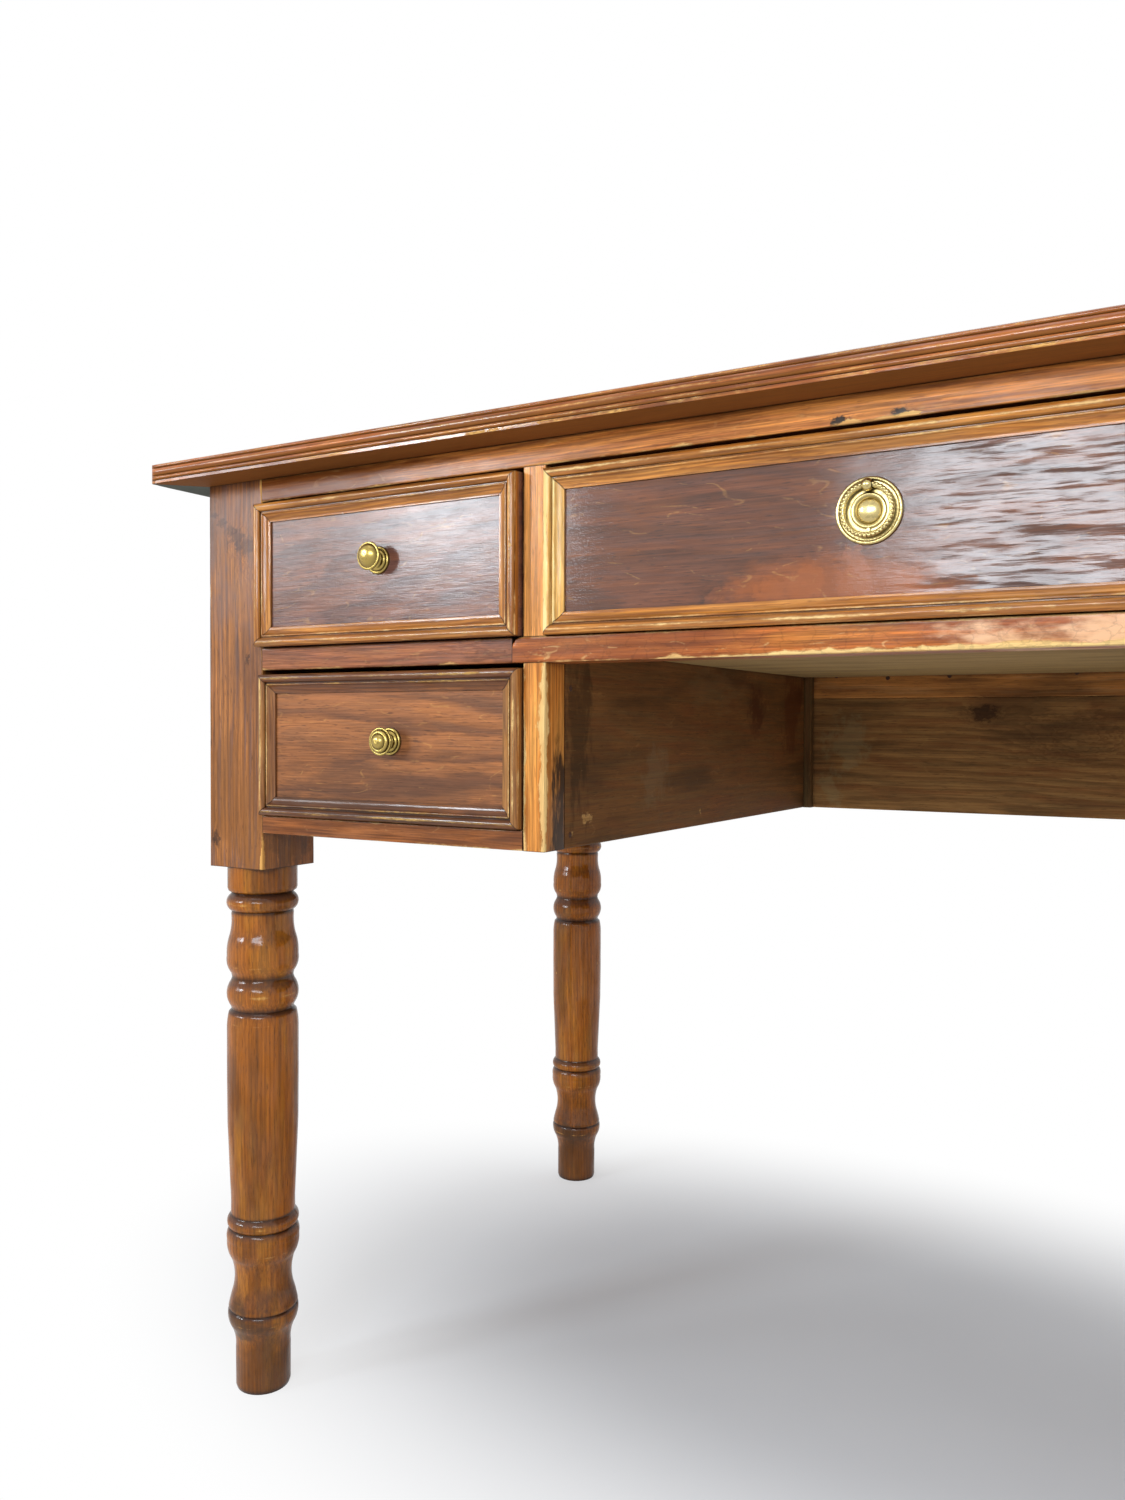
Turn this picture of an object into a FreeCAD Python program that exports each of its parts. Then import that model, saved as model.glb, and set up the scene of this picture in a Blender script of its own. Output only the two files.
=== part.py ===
import FreeCAD, Part
import os
from types import SimpleNamespace

import Sketcher

# A small softwood writing desk with five drawers. It stands on four turned legs, whose square
# upper ends are the corner posts. Two short pedestals hang between the posts, with two drawers
# each, and a wide drawer closes the space over the kneehole. Lengths are in millimetres. The
# desk faces -Y and stands on Z = 0, and the origin is under its centre.

doc = FreeCAD.newDocument("WritingDesk")

# Driving dimensions
SIZES = [
    # Carcass
    ("frame_width", 1100, "left to right over the posts"),
    ("frame_depth", 590, "front to back over the posts"),
    ("desk_height", 770, "floor to the writing surface"),
    ("top_thick", 16, "boards of the top and their edge strips"),
    ("overhang", 34, "width of the moulded edge strips, past the posts"),
    ("post_size", 60, "square of the posts"),
    ("post_arris", 2, "rounding of the post's corners"),
    ("square_drop", 30, "how far the post runs on below the lower rail"),
    ("side_opening", 249, "width of the drawer openings in the pedestals"),
    ("stile_width", 18, "upright beside the kneehole, and the partition behind it"),
    ("member_depth", 27, "front to back of rails and stiles"),
    ("upper_rail_height", 18, "rail under the top"),
    ("upper_opening", 117, "height of the upper row of drawer openings"),
    ("mid_rail_height", 18, "rail between the rows"),
    ("lower_opening", 116.5, "height of the lower drawer openings"),
    ("lower_rail_height", 14.5, "rail under the lower drawers, and the pedestal floor"),
    ("rail_lap", 9, "how far the centre rail laps past its stile"),
    ("lap_round", 8, "rounded upper corner of the lapped end"),
    ("panel_inset", 8, "outer side panel, in from the post's outer face"),
    ("panel_thick", 18, "outer side panels and back boards"),
    ("back_setback", 28, "back boards, in from the back of the posts"),
    ("back_joint", 118, "height of the lower back board"),
    ("soffit_thick", 8, "board under the centre drawer"),
    ("corner_batten", 8, "square fillet in the kneehole's rear corners"),
    ("runner_width", 20, "bearing under a drawer side, and kickers"),
    ("guide_height", 20, "strip that fills the space beside a drawer"),
    ("block_side", 24, "glue blocks under the top"),
    ("block_length", 60, "glue blocks under the top"),
    ("stop_width", 16, "blocks behind the drawers"),
    ("stop_height", 14, "blocks behind the drawers"),
    ("stop_length", 23.5, "blocks behind the drawers, front to back"),
    ("stop_gap", 0.5, "drawer to its stop"),
    # Drawers
    ("front_thick", 20, "drawer fronts"),
    ("side_thick", 10, "drawer sides and backs"),
    ("bottom_thick", 6, "groove for the drawer bottom"),
    ("bottom_rise", 8, "groove above the lower edge of the side"),
    ("groove_depth", 5, "groove for the drawer bottom"),
    ("panel_slip", 0.2, "play of the drawer bottom in its groove"),
    ("side_drop", 3, "drawer side below the top of its front"),
    ("back_drop", 8, "drawer back below the top of its side"),
    ("side_gap", 0.75, "drawer to opening, each side"),
    ("floor_gap", 0.5, "drawer front to the rail under it"),
    ("top_gap", 3.5, "drawer front to the rail above it"),
    ("tail_length", 14, "lapped dovetails, into the front"),
    ("tail_flare", 2.5, "dovetail, each side of its root"),
    ("pulled_out", 5, "upper left drawer, which stands a little open"),
    ("moulding_width", 15, "mitred frame on a drawer front"),
    ("moulding_height", 7, "mitred frame on a drawer front"),
    # Knobs
    ("knob_base", 21, "diameter of the rosette"),
    ("knob_cap", 20.6, "diameter of the cap"),
    ("knob_neck", 8, "diameter of the neck"),
    ("knob_reach", 17, "front of the drawer to the tip"),
    ("knob_lift", 4, "knob above the middle of the front"),
    ("lower_knob_shift", 7, "lower knobs, towards the kneehole"),
    # Ring pull
    ("plate_size", 40, "diameter of the backplate"),
    ("plate_rim", 2.2, "height of the backplate's rim"),
    ("plate_floor", 1.2, "thickness of the backplate"),
    ("dome_rim_size", 20.6, "diameter of the ring round the dome"),
    ("dome_size", 16, "diameter of the dome"),
    ("dome_height", 4.6, "height of the dome"),
    ("pull_rise", 8, "ring pull above the middle of the front"),
    ("bail_size", 33, "outer diameter of the ring"),
    ("bail_wire", 4, "thickness of the ring"),
    ("ball_size", 7.7, "ball that the ring hangs in"),
    ("ball_reach", 8.6, "front of the drawer to the ball's tip"),
    ("bail_slip", 1.1, "play of the ring in its hole"),
    ("ball_stem", 4.4, "stem behind the ball"),
    ("pin_head", 2.4, "small rivet under the ring"),
    ("pin_height", 0.9, "head of the rivet"),
    # Threads of the knobs and the ring pull
    ("shank_size", 4, "threaded shank through the front"),
    ("shank_slip", 0.2, "shank in its hole, radially"),
    ("nut_size", 8, "round nut inside the drawer"),
    ("nut_thick", 3, "round nut inside the drawer"),
    ("shank_tail", 2, "shank past its nut"),
    ("overrun", 1, "how far a cut runs past what it cuts"),
]

sheet = doc.addObject("Spreadsheet::Sheet", "Sizes")
for row, (alias, number, note) in enumerate(SIZES, 1):
    sheet.set(f"A{row}", alias)
    sheet.set(f"B{row}", str(number))
    sheet.set(f"C{row}", note)
    sheet.setAlias(f"B{row}", alias)
doc.recompute()


class Length:
    """A length with its spreadsheet formula and its present value."""

    def __init__(self, formula, number):
        self.formula = formula
        self.number = number

    def __float__(self):
        return float(self.number)

    def joined(self, sign, other, number):
        text = other.formula if isinstance(other, Length) else str(other)
        return Length(f"({self.formula} {sign} {text})", number)

    def __add__(self, other):
        return self.joined("+", other, self.number + float(other))

    def __sub__(self, other):
        return self.joined("-", other, self.number - float(other))

    def __mul__(self, factor):
        return self.joined("*", factor, self.number * factor)

    def __truediv__(self, factor):
        return self.joined("/", factor, self.number / factor)

    def __neg__(self):
        return Length(f"(0 - {self.formula})", -self.number)


S = SimpleNamespace(
    **{alias: Length(f"Sizes.{alias}", float(sheet.get(alias))) for alias, _, _ in SIZES}
)
NOTHING = S.overhang * 0

# Planes and levels of the carcass
half_width = S.frame_width / 2
post_inside = half_width - S.post_size
front = -(S.frame_depth / 2)
back = S.frame_depth / 2
centre_half = post_inside - S.side_opening - S.stile_width
partition_outside = centre_half + S.stile_width
behind_rails = front + S.member_depth
back_board_front = back - S.back_setback - S.panel_thick
panel_inside = half_width - S.panel_inset - S.panel_thick
under_top = S.desk_height - S.top_thick
upper_opening_top = under_top - S.upper_rail_height
mid_rail_top = upper_opening_top - S.upper_opening
mid_rail_bottom = mid_rail_top - S.mid_rail_height
lower_rail_top = mid_rail_bottom - S.lower_opening
lower_rail_bottom = lower_rail_top - S.lower_rail_height
turned_height = lower_rail_bottom - S.square_drop

# Drawer sides reach from the back of the front board to the stops
drawer_back = back_board_front - S.stop_length - S.stop_gap
drawer_length = drawer_back - front - S.front_thick

# Curved outlines are lists of (share across, share up) points. A point alone ends a straight
# line. A pair of points is an arc: one on its middle, then its end.

# Turned leg: shares of the post's half width and of the turned height
leg_shares = [
    (0.72, 0.0),
    (0.75, 0.006),
    (0.755, 0.075),
    ((0.775, 0.1), (0.86, 0.118)),
    ((0.955, 0.134), (0.965, 0.15)),
    (0.93, 0.156),
    ((0.89, 0.171), (0.835, 0.188)),
    ((0.785, 0.222), (0.87, 0.25)),
    ((0.97, 0.266), (0.99, 0.286)),
    ((0.985, 0.302), (0.95, 0.309)),
    ((0.965, 0.322), (0.93, 0.333)),
    ((0.88, 0.344), (0.875, 0.36)),
    (0.97, 0.51),
    (0.98, 0.6),
    (0.98, 0.685),
    ((0.965, 0.707), (0.93, 0.723)),
    (0.86, 0.728),
    (0.86, 0.739),
    ((0.963, 0.761), (0.855, 0.784)),
    (0.85, 0.795),
    ((0.945, 0.804), (0.98, 0.825)),
    ((0.965, 0.847), (0.91, 0.862)),
    ((0.85, 0.887), (0.86, 0.913)),
    ((0.966, 0.932), (0.895, 0.947)),
    (0.9, 0.95),
    (0.955, 0.953),
    (0.955, 1.0),
]

# Reeded edge of the top: shares of the strip's width, from its outer edge, and of its thickness
edge_shares = [
    (0.035, 0.02),
    (0.035, 0.13),
    (0.055, 0.155),
    ((0.012, 0.265), (0.055, 0.375)),
    ((0.0, 0.575), (0.06, 0.775)),
    ((0.035, 0.87), (0.08, 0.96)),
    (0.12, 1.0),
]

# Drawer moulding: shares of its width, from its outer edge, and of its height
moulding_shares = [
    (0.0, 0.62),
    ((0.215, 1.0), (0.43, 0.62)),
    (0.43, 0.5),
    (0.49, 0.5),
    ((0.545, 0.66), (0.6, 0.54)),
    ((0.74, 0.33), (0.94, 0.22)),
    (1.0, 0.22),
]

# Knob: shares of the rosette's radius, then of the cap's, and of the reach
rosette_shares = [
    (1.0, 0.05),
    ((0.93, 0.13), (0.8, 0.13)),
    ((0.72, 0.19), (0.6, 0.19)),
    (0.42, 0.25),
]
neck_shares = (0.25, 0.5)
cap_shares = [
    ((0.62, 0.55), (0.96, 0.62)),
    ((1.0, 0.68), (0.93, 0.75)),
    (0.86, 0.75),
    ((0.8, 0.83), (0.66, 0.84)),
    (0.6, 0.84),
    ((0.5, 0.955), (0.3, 0.99)),
    (0.0, 1.0),
]

# Backplate: its rim and floor, the ring round the dome, and the dome, each in shares of its own
# radius and height
plate_rim_shares = [(1.0, 0.3), ((0.985, 0.8), (0.94, 1.0)), ((0.905, 0.94), (0.88, 0.75))]
plate_floor_shares = [(0.865, 1.0), (0.54, 1.0)]
dome_rim_shares = [((0.97, 1.0), (0.86, 0.95))]
dome_shares = [(1.0, 0.34), ((0.63, 0.79), (0.15, 0.985)), (0.0, 1.0)]

# Dovetail root: share of the pitch left at each side of it
tail_root_share = 0.25

# An edge runs along an axis if at least this share of its direction does
along_share = 0.99

nodes = {}


def keep(label, piece):
    """Names a finished sub-part."""
    piece.Label = label
    nodes[label] = piece
    return piece


def tie(piece, place, length):
    """Binds one property to a formula of the sheet."""
    piece.setExpression(place, length.formula)


def place(piece, x, y, z, rotation=FreeCAD.Rotation()):
    """Sets where a piece lies, with its corner or centre bound to the sheet."""
    piece.Placement = FreeCAD.Placement(FreeCAD.Vector(float(x), float(y), float(z)), rotation)
    tie(piece, "Placement.Base.x", x)
    tie(piece, "Placement.Base.y", y)
    tie(piece, "Placement.Base.z", z)


def board(name, x, y, z, length, width, height):
    """A plain board from its low corner and its three sizes."""
    box = doc.addObject("Part::Box", name)
    tie(box, "Length", length)
    tie(box, "Width", width)
    tie(box, "Height", height)
    place(box, x, y, z)
    return box


def board_pair(name, x, y, z, length, width, height):
    """The same board left and right of the middle, from the left one's low corner."""
    left = board(f"left_{name}", x, y, z, length, width, height)
    right = board(f"right_{name}", -x - length, y, z, length, width, height)
    return left, right


def group(name, pieces):
    """Separate solids that share a node."""
    compound = doc.addObject("Part::Compound", name)
    compound.Links = pieces
    return compound


def mirrored(name, source, centre_x=None, centre_z=None):
    """A mirror image across an upright plane, or a level one where only centre_z is given."""
    image = doc.addObject("Part::Mirroring", name)
    image.Source = source
    if centre_z is not None:
        image.Normal = FreeCAD.Vector(0, 0, 1)
        tie(image, "Base.z", centre_z)
    else:
        image.Normal = FreeCAD.Vector(1, 0, 0)
        tie(image, "Base.x", centre_x or NOTHING)
    return image


def new_body(name):
    return doc.addObject("PartDesign::Body", name)


def sketch_on(body, role, offset=None):
    """A sketch on one of the body's own planes, moved along its normal by offset."""
    plane = next(f for f in body.Origin.OriginFeatures if f.Role == role)
    sketch = body.newObject("Sketcher::SketchObject", f"{body.Name}_sketch")
    sketch.AttachmentSupport = [(plane, "")]
    sketch.MapMode = "FlatFace"
    if offset is not None:
        tie(sketch, "AttachmentOffset.Base.z", offset)
    return sketch


def draw(sketch, start, outline):
    """Draws a closed outline of lines and arcs from start through the listed points."""
    here = FreeCAD.Vector(float(start[0]), float(start[1]), 0)
    first = here
    begin = sketch.GeometryCount
    for step in outline + [start]:
        arc = isinstance(step[0], tuple)
        end = step[1] if arc else step
        there = FreeCAD.Vector(float(end[0]), float(end[1]), 0)
        if there.isEqual(here, 0):
            continue
        if arc:
            middle = FreeCAD.Vector(float(step[0][0]), float(step[0][1]), 0)
            sketch.addGeometry(Part.Arc(here, middle, there), False)
        else:
            sketch.addGeometry(Part.LineSegment(here, there), False)
        here = there
    if not here.isEqual(first, 0):
        raise ValueError(f"{sketch.Name} is open")
    for index in range(begin, sketch.GeometryCount):
        sketch.addConstraint(Sketcher.Constraint("Block", index))


def rectangle(sketch, left, bottom, width, height):
    """Draws an upright rectangle from its low left corner."""
    right = left + width
    top = bottom + height
    draw(sketch, (left, bottom), [(right, bottom), (right, top), (left, top)])


def scaled(shares, across, up):
    """Turns an outline of shares into lengths."""

    def point(share):
        return (across * share[0], up * share[1])

    return [
        (point(step[0]), point(step[1])) if isinstance(step[0], tuple) else point(step)
        for step in shares
    ]


def pad(body, sketch, length, midplane=False, reverse=False):
    feature = body.newObject("PartDesign::Pad", f"{body.Name}_pad")
    feature.Profile = sketch
    feature.Midplane = midplane
    feature.Reversed = reverse
    tie(feature, "Length", length)
    doc.recompute()
    return feature


def pocket(body, sketch, length=None, reverse=False):
    """Cuts to a depth, or right through both ways, and checks that something was cut."""
    before = body.Shape.Volume
    feature = body.newObject("PartDesign::Pocket", f"{body.Name}_pocket")
    feature.Profile = sketch
    feature.Reversed = reverse
    if length is None:
        feature.Type = "ThroughAll"
        feature.Midplane = True
    else:
        tie(feature, "Length", length)
    doc.recompute()
    if not body.Shape.Volume < before:
        raise ValueError(f"{feature.Name} cuts nothing")
    return feature


def turn(body, start, outline):
    """Turns an outline about the body's Z axis."""
    sketch = sketch_on(body, "XZ_Plane")
    draw(sketch, start, outline)
    feature = body.newObject("PartDesign::Revolution", f"{body.Name}_turning")
    feature.Profile = sketch
    feature.ReferenceAxis = (sketch, ["V_Axis"])
    feature.Angle = 360
    doc.recompute()
    return feature


def edges_along(shape, axis, above=None):
    """Names of the edges that run along an axis, or of those among them above a level."""
    return [
        f"Edge{i}"
        for i, edge in enumerate(shape.Edges, 1)
        if abs(edge.tangentAt(edge.FirstParameter).dot(axis)) > along_share
        and (above is None or edge.CenterOfMass.z > float(above))
    ]


OUTWARDS = FreeCAD.Rotation(FreeCAD.Vector(1, 0, 0), 90)
UPRIGHT = FreeCAD.Rotation(FreeCAD.Vector(0, 1, 0), 90).multiply(OUTWARDS)


def leg(name, x, y):
    """Square post and turned leg in one piece."""
    body = new_body(name)
    square = sketch_on(body, "XY_Plane", turned_height)
    rectangle(square, -(S.post_size / 2), -(S.post_size / 2), S.post_size, S.post_size)
    block = pad(body, square, under_top - turned_height)
    rounding = body.newObject("PartDesign::Fillet", f"{name}_arris")
    rounding.Base = (block, edges_along(block.Shape, FreeCAD.Vector(0, 0, 1)))
    tie(rounding, "Radius", S.post_arris)
    doc.recompute()
    outline = scaled(leg_shares, S.post_size / 2, turned_height)
    turn(body, (NOTHING, NOTHING), outline + [(NOTHING, turned_height)])
    place(body, x, y, NOTHING)
    return keep(name, body)


def strip(name, length, width, height, shares):
    """A moulded strip along X, with its outer edge on Y = 0 and both ends mitred."""
    body = new_body(name)
    profile = sketch_on(body, "YZ_Plane")
    outline = scaled(shares, width, height)
    draw(profile, (outline[0][0], NOTHING), outline + [(width, height), (width, NOTHING)])
    pad(body, profile, length, midplane=True)
    ends = sketch_on(body, "XY_Plane")
    tip = length / 2 + S.overrun
    root = length / 2 - width - S.overrun
    outer = -S.overrun
    inner = width + S.overrun
    draw(ends, (tip, outer), [(tip, inner), (root, inner)])
    draw(ends, (-tip, outer), [(-root, inner), (-tip, inner)])
    pocket(body, ends)
    return body


# Top: boards side by side, with reeded strips mitred round them
top_board_count = 3
board_width = S.frame_depth / top_board_count
keep(
    "top_boards",
    group(
        "top_boards",
        [
            board(
                f"top_board_{i}",
                -half_width,
                front + board_width * i,
                under_top,
                S.frame_width,
                board_width,
                S.top_thick,
            )
            for i in range(top_board_count)
        ],
    ),
)
outer_width = half_width + S.overhang
outer_depth = back + S.overhang
for name, span, x, y, quarter in (
    ("front", outer_width, NOTHING, -outer_depth, 0),
    ("right", outer_depth, outer_width, NOTHING, 1),
    ("back", outer_width, NOTHING, outer_depth, 2),
    ("left", outer_depth, -outer_width, NOTHING, 3),
):
    edge_strip = strip(f"top_edge_{name}", span * 2, S.overhang, S.top_thick, edge_shares)
    facing = FreeCAD.Rotation(FreeCAD.Vector(0, 0, 1), 90 * quarter)
    place(edge_strip, x, y, under_top, facing)
    keep(f"top_edge_{name}", edge_strip)

# Legs
leg_x = half_width - S.post_size / 2
leg_y = back - S.post_size / 2
leg("front_left_leg", -leg_x, -leg_y)
leg("front_right_leg", leg_x, -leg_y)
leg("rear_left_leg", -leg_x, leg_y)
leg("rear_right_leg", leg_x, leg_y)

# Front rails and stiles
keep(
    "upper_front_rail",
    board(
        "upper_front_rail",
        -post_inside,
        front,
        upper_opening_top,
        post_inside * 2,
        S.member_depth,
        S.upper_rail_height,
    ),
)
lap_end = partition_outside + S.rail_lap
centre_rail = new_body("centre_rail")
rail_sketch = sketch_on(centre_rail, "XZ_Plane")
rectangle(rail_sketch, -lap_end, NOTHING, lap_end * 2, S.mid_rail_height)
rail_pad = pad(centre_rail, rail_sketch, S.member_depth, reverse=True)
lap_edges = edges_along(rail_pad.Shape, FreeCAD.Vector(0, 1, 0), S.mid_rail_height / 2)
lap_rounding = centre_rail.newObject("PartDesign::Fillet", "centre_rail_lap")
lap_rounding.Base = (rail_pad, lap_edges)
tie(lap_rounding, "Radius", S.lap_round)
place(centre_rail, NOTHING, front, mid_rail_bottom)
keep("centre_rail", centre_rail)

for mid_rail in board_pair(
    "mid_rail",
    -post_inside,
    front,
    mid_rail_bottom,
    post_inside - lap_end,
    S.member_depth,
    S.mid_rail_height,
):
    keep(mid_rail.Name, mid_rail)
for lower_rail in board_pair(
    "lower_rail",
    -post_inside,
    front,
    lower_rail_bottom,
    S.side_opening,
    S.member_depth,
    S.lower_rail_height,
):
    keep(lower_rail.Name, lower_rail)
upper_stiles = board_pair(
    "upper_stile",
    -partition_outside,
    front,
    mid_rail_top,
    S.stile_width,
    S.member_depth,
    S.upper_opening,
)
lower_stiles = board_pair(
    "lower_stile",
    -partition_outside,
    front,
    lower_rail_bottom,
    S.stile_width,
    S.member_depth,
    mid_rail_bottom - lower_rail_bottom,
)
for side, upper, lower in zip(("left", "right"), upper_stiles, lower_stiles):
    keep(f"{side}_stiles", group(f"{side}_stiles", [upper, lower]))

# Panels
carcass_depth = back_board_front - behind_rails
panel_height = under_top - lower_rail_bottom
for panel in board_pair(
    "side_panel",
    -(half_width - S.panel_inset),
    front + S.post_size,
    lower_rail_bottom,
    S.panel_thick,
    S.frame_depth - S.post_size * 2,
    panel_height,
):
    keep(panel.Name, panel)
for panel in board_pair(
    "partition",
    -partition_outside,
    behind_rails,
    lower_rail_bottom,
    S.stile_width,
    carcass_depth,
    panel_height,
):
    keep(panel.Name, panel)
lower_back = board(
    "lower_back_board",
    -post_inside,
    back_board_front,
    lower_rail_bottom,
    post_inside * 2,
    S.panel_thick,
    S.back_joint,
)
upper_back = board(
    "upper_back_board",
    -post_inside,
    back_board_front,
    lower_rail_bottom + S.back_joint,
    post_inside * 2,
    S.panel_thick,
    panel_height - S.back_joint,
)
keep("back_boards", group("back_boards", [lower_back, upper_back]))
keep(
    "kneehole_soffit",
    board(
        "kneehole_soffit",
        -centre_half,
        behind_rails,
        mid_rail_top - S.soffit_thick,
        centre_half * 2,
        carcass_depth,
        S.soffit_thick,
    ),
)
battens = board_pair(
    "corner_batten",
    -centre_half,
    back_board_front - S.corner_batten,
    lower_rail_bottom,
    S.corner_batten,
    S.corner_batten,
    mid_rail_top - S.soffit_thick - lower_rail_bottom,
)
keep("kneehole_corner_battens", group("kneehole_corner_battens", list(battens)))


def notched_floor(name, inner, thick, level):
    """A level board from the side panel to inner, cut round the two posts."""
    body = new_body(name)
    sketch = sketch_on(body, "XY_Plane")
    post_back = front + S.post_size
    post_front = back - S.post_size
    draw(
        sketch,
        (-inner, behind_rails),
        [
            (-inner, back_board_front),
            (-post_inside, back_board_front),
            (-post_inside, post_front),
            (-panel_inside, post_front),
            (-panel_inside, post_back),
            (-post_inside, post_back),
            (-post_inside, behind_rails),
        ],
    )
    pad(body, sketch, thick)
    place(body, NOTHING, NOTHING, level)
    return body


left_floor = notched_floor(
    "left_pedestal_floor", partition_outside, S.lower_rail_height, lower_rail_bottom
)
keep("left_pedestal_floor", left_floor)
keep("right_pedestal_floor", mirrored("right_pedestal_floor", left_floor))

# Runners, guides, kickers and stops
outer_runner = notched_floor(
    "left_outer_runner", post_inside - S.runner_width, S.mid_rail_height, mid_rail_bottom
)
outer_runners = (outer_runner, mirrored("right_outer_runner", outer_runner))
inner_runners = board_pair(
    "inner_runner",
    -(partition_outside + S.runner_width),
    behind_rails,
    mid_rail_bottom,
    S.runner_width,
    carcass_depth,
    S.mid_rail_height,
)
for side, outer, inner in zip(("left", "right"), outer_runners, inner_runners):
    keep(f"{side}_runners", group(f"{side}_runners", [outer, inner]))

guides = []
for row, level in (("upper", mid_rail_top), ("lower", lower_rail_top)):
    guides += board_pair(
        f"{row}_guide",
        -panel_inside,
        front + S.post_size,
        level,
        panel_inside - post_inside,
        S.frame_depth - S.post_size * 2,
        S.guide_height,
    )
keep("drawer_guides", group("drawer_guides", guides))

kickers = []
for row, edge in (
    ("outer", post_inside),
    ("inner", partition_outside + S.runner_width),
    ("centre", centre_half),
):
    kickers += board_pair(
        f"{row}_kicker",
        -edge,
        behind_rails,
        upper_opening_top,
        S.runner_width,
        carcass_depth,
        S.upper_rail_height,
    )
keep("kickers", group("kickers", kickers))

stops = []
for row, edge, level in (
    ("upper_outer", post_inside, mid_rail_top),
    ("upper_inner", partition_outside + S.stop_width, mid_rail_top),
    ("lower_outer", post_inside, lower_rail_top),
    ("lower_inner", partition_outside + S.stop_width, lower_rail_top),
    ("centre", centre_half, mid_rail_top),
):
    stops += board_pair(
        f"{row}_stop",
        -edge,
        drawer_back + S.stop_gap,
        level,
        S.stop_width,
        S.stop_length,
        S.stop_height,
    )
keep("drawer_stops", group("drawer_stops", stops))

blocks = []
block_count = 3
block_run = S.frame_depth - S.post_size * 2 - S.block_length
for i in range(block_count):
    blocks += board_pair(
        f"glue_block_{i}",
        -panel_inside,
        front + S.post_size + block_run * i / (block_count - 1),
        under_top - S.block_side,
        S.block_side,
        S.block_length,
        S.block_side,
    )
keep("glue_blocks", group("glue_blocks", blocks))

# Drawers
tail_count = 3


def tails(side_height):
    """Lapped dovetails on the front end of a drawer side, from its shoulder at Y = 0."""
    pitch = side_height / tail_count
    root = pitch * tail_root_share
    return [
        (
            (NOTHING, pitch * i + root),
            (-S.tail_length, pitch * i + root - S.tail_flare),
            (-S.tail_length, pitch * (i + 1) - root + S.tail_flare),
            (NOTHING, pitch * (i + 1) - root),
        )
        for i in range(tail_count)
    ]


def drawer_front(name, width, height, side_height, hole_x, hole_z):
    """Front board, with its face on Y = 0 and its lower edge on Z = 0."""
    body = new_body(name)
    face = sketch_on(body, "XZ_Plane")
    rectangle(face, -(width / 2), NOTHING, width, height)
    pad(body, face, S.front_thick, reverse=True)
    groove = sketch_on(body, "XZ_Plane", -S.front_thick)
    grooved = width - (S.side_thick - S.groove_depth) * 2
    rectangle(groove, -(grooved / 2), S.bottom_rise, grooved, S.bottom_thick)
    pocket(body, groove, S.groove_depth, reverse=True)
    sockets = sketch_on(body, "YZ_Plane", width / 2)
    for tail in tails(side_height):
        points = [(S.front_thick + y, z) for y, z in tail]
        draw(sockets, points[0], points[1:])
    socket_cut = pocket(body, sockets, S.side_thick)
    before = body.Shape.Volume
    both_ends = body.newObject("PartDesign::Mirrored", f"{name}_both_ends")
    both_ends.Originals = [socket_cut]
    plane = next(f for f in body.Origin.OriginFeatures if f.Role == "YZ_Plane")
    both_ends.MirrorPlane = (plane, [""])
    body.Tip = both_ends
    doc.recompute()
    if not body.Shape.Volume < before:
        raise ValueError(f"{name} has sockets at one end only")
    hole = sketch_on(body, "XZ_Plane")
    centre = FreeCAD.Vector(float(hole_x), float(hole_z), 0)
    radius = float(S.shank_size) / 2 + float(S.shank_slip)
    hole.addGeometry(Part.Circle(centre, FreeCAD.Vector(0, 0, 1), radius), False)
    pocket(body, hole)
    return body


def drawer_side(name, side_height):
    """Left side of a drawer, with its outer face on X = 0 and its shoulder on Y = 0."""
    body = new_body(name)
    profile = sketch_on(body, "YZ_Plane")
    front_end = [point for tail in tails(side_height) for point in tail]
    rear = [(NOTHING, side_height), (drawer_length, side_height), (drawer_length, NOTHING)]
    draw(profile, (NOTHING, NOTHING), front_end + rear)
    pad(body, profile, S.side_thick)
    groove = sketch_on(body, "XZ_Plane")
    rectangle(
        groove,
        S.side_thick - S.groove_depth,
        S.bottom_rise,
        S.groove_depth + S.overrun,
        S.bottom_thick,
    )
    pocket(body, groove)
    return body


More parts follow.
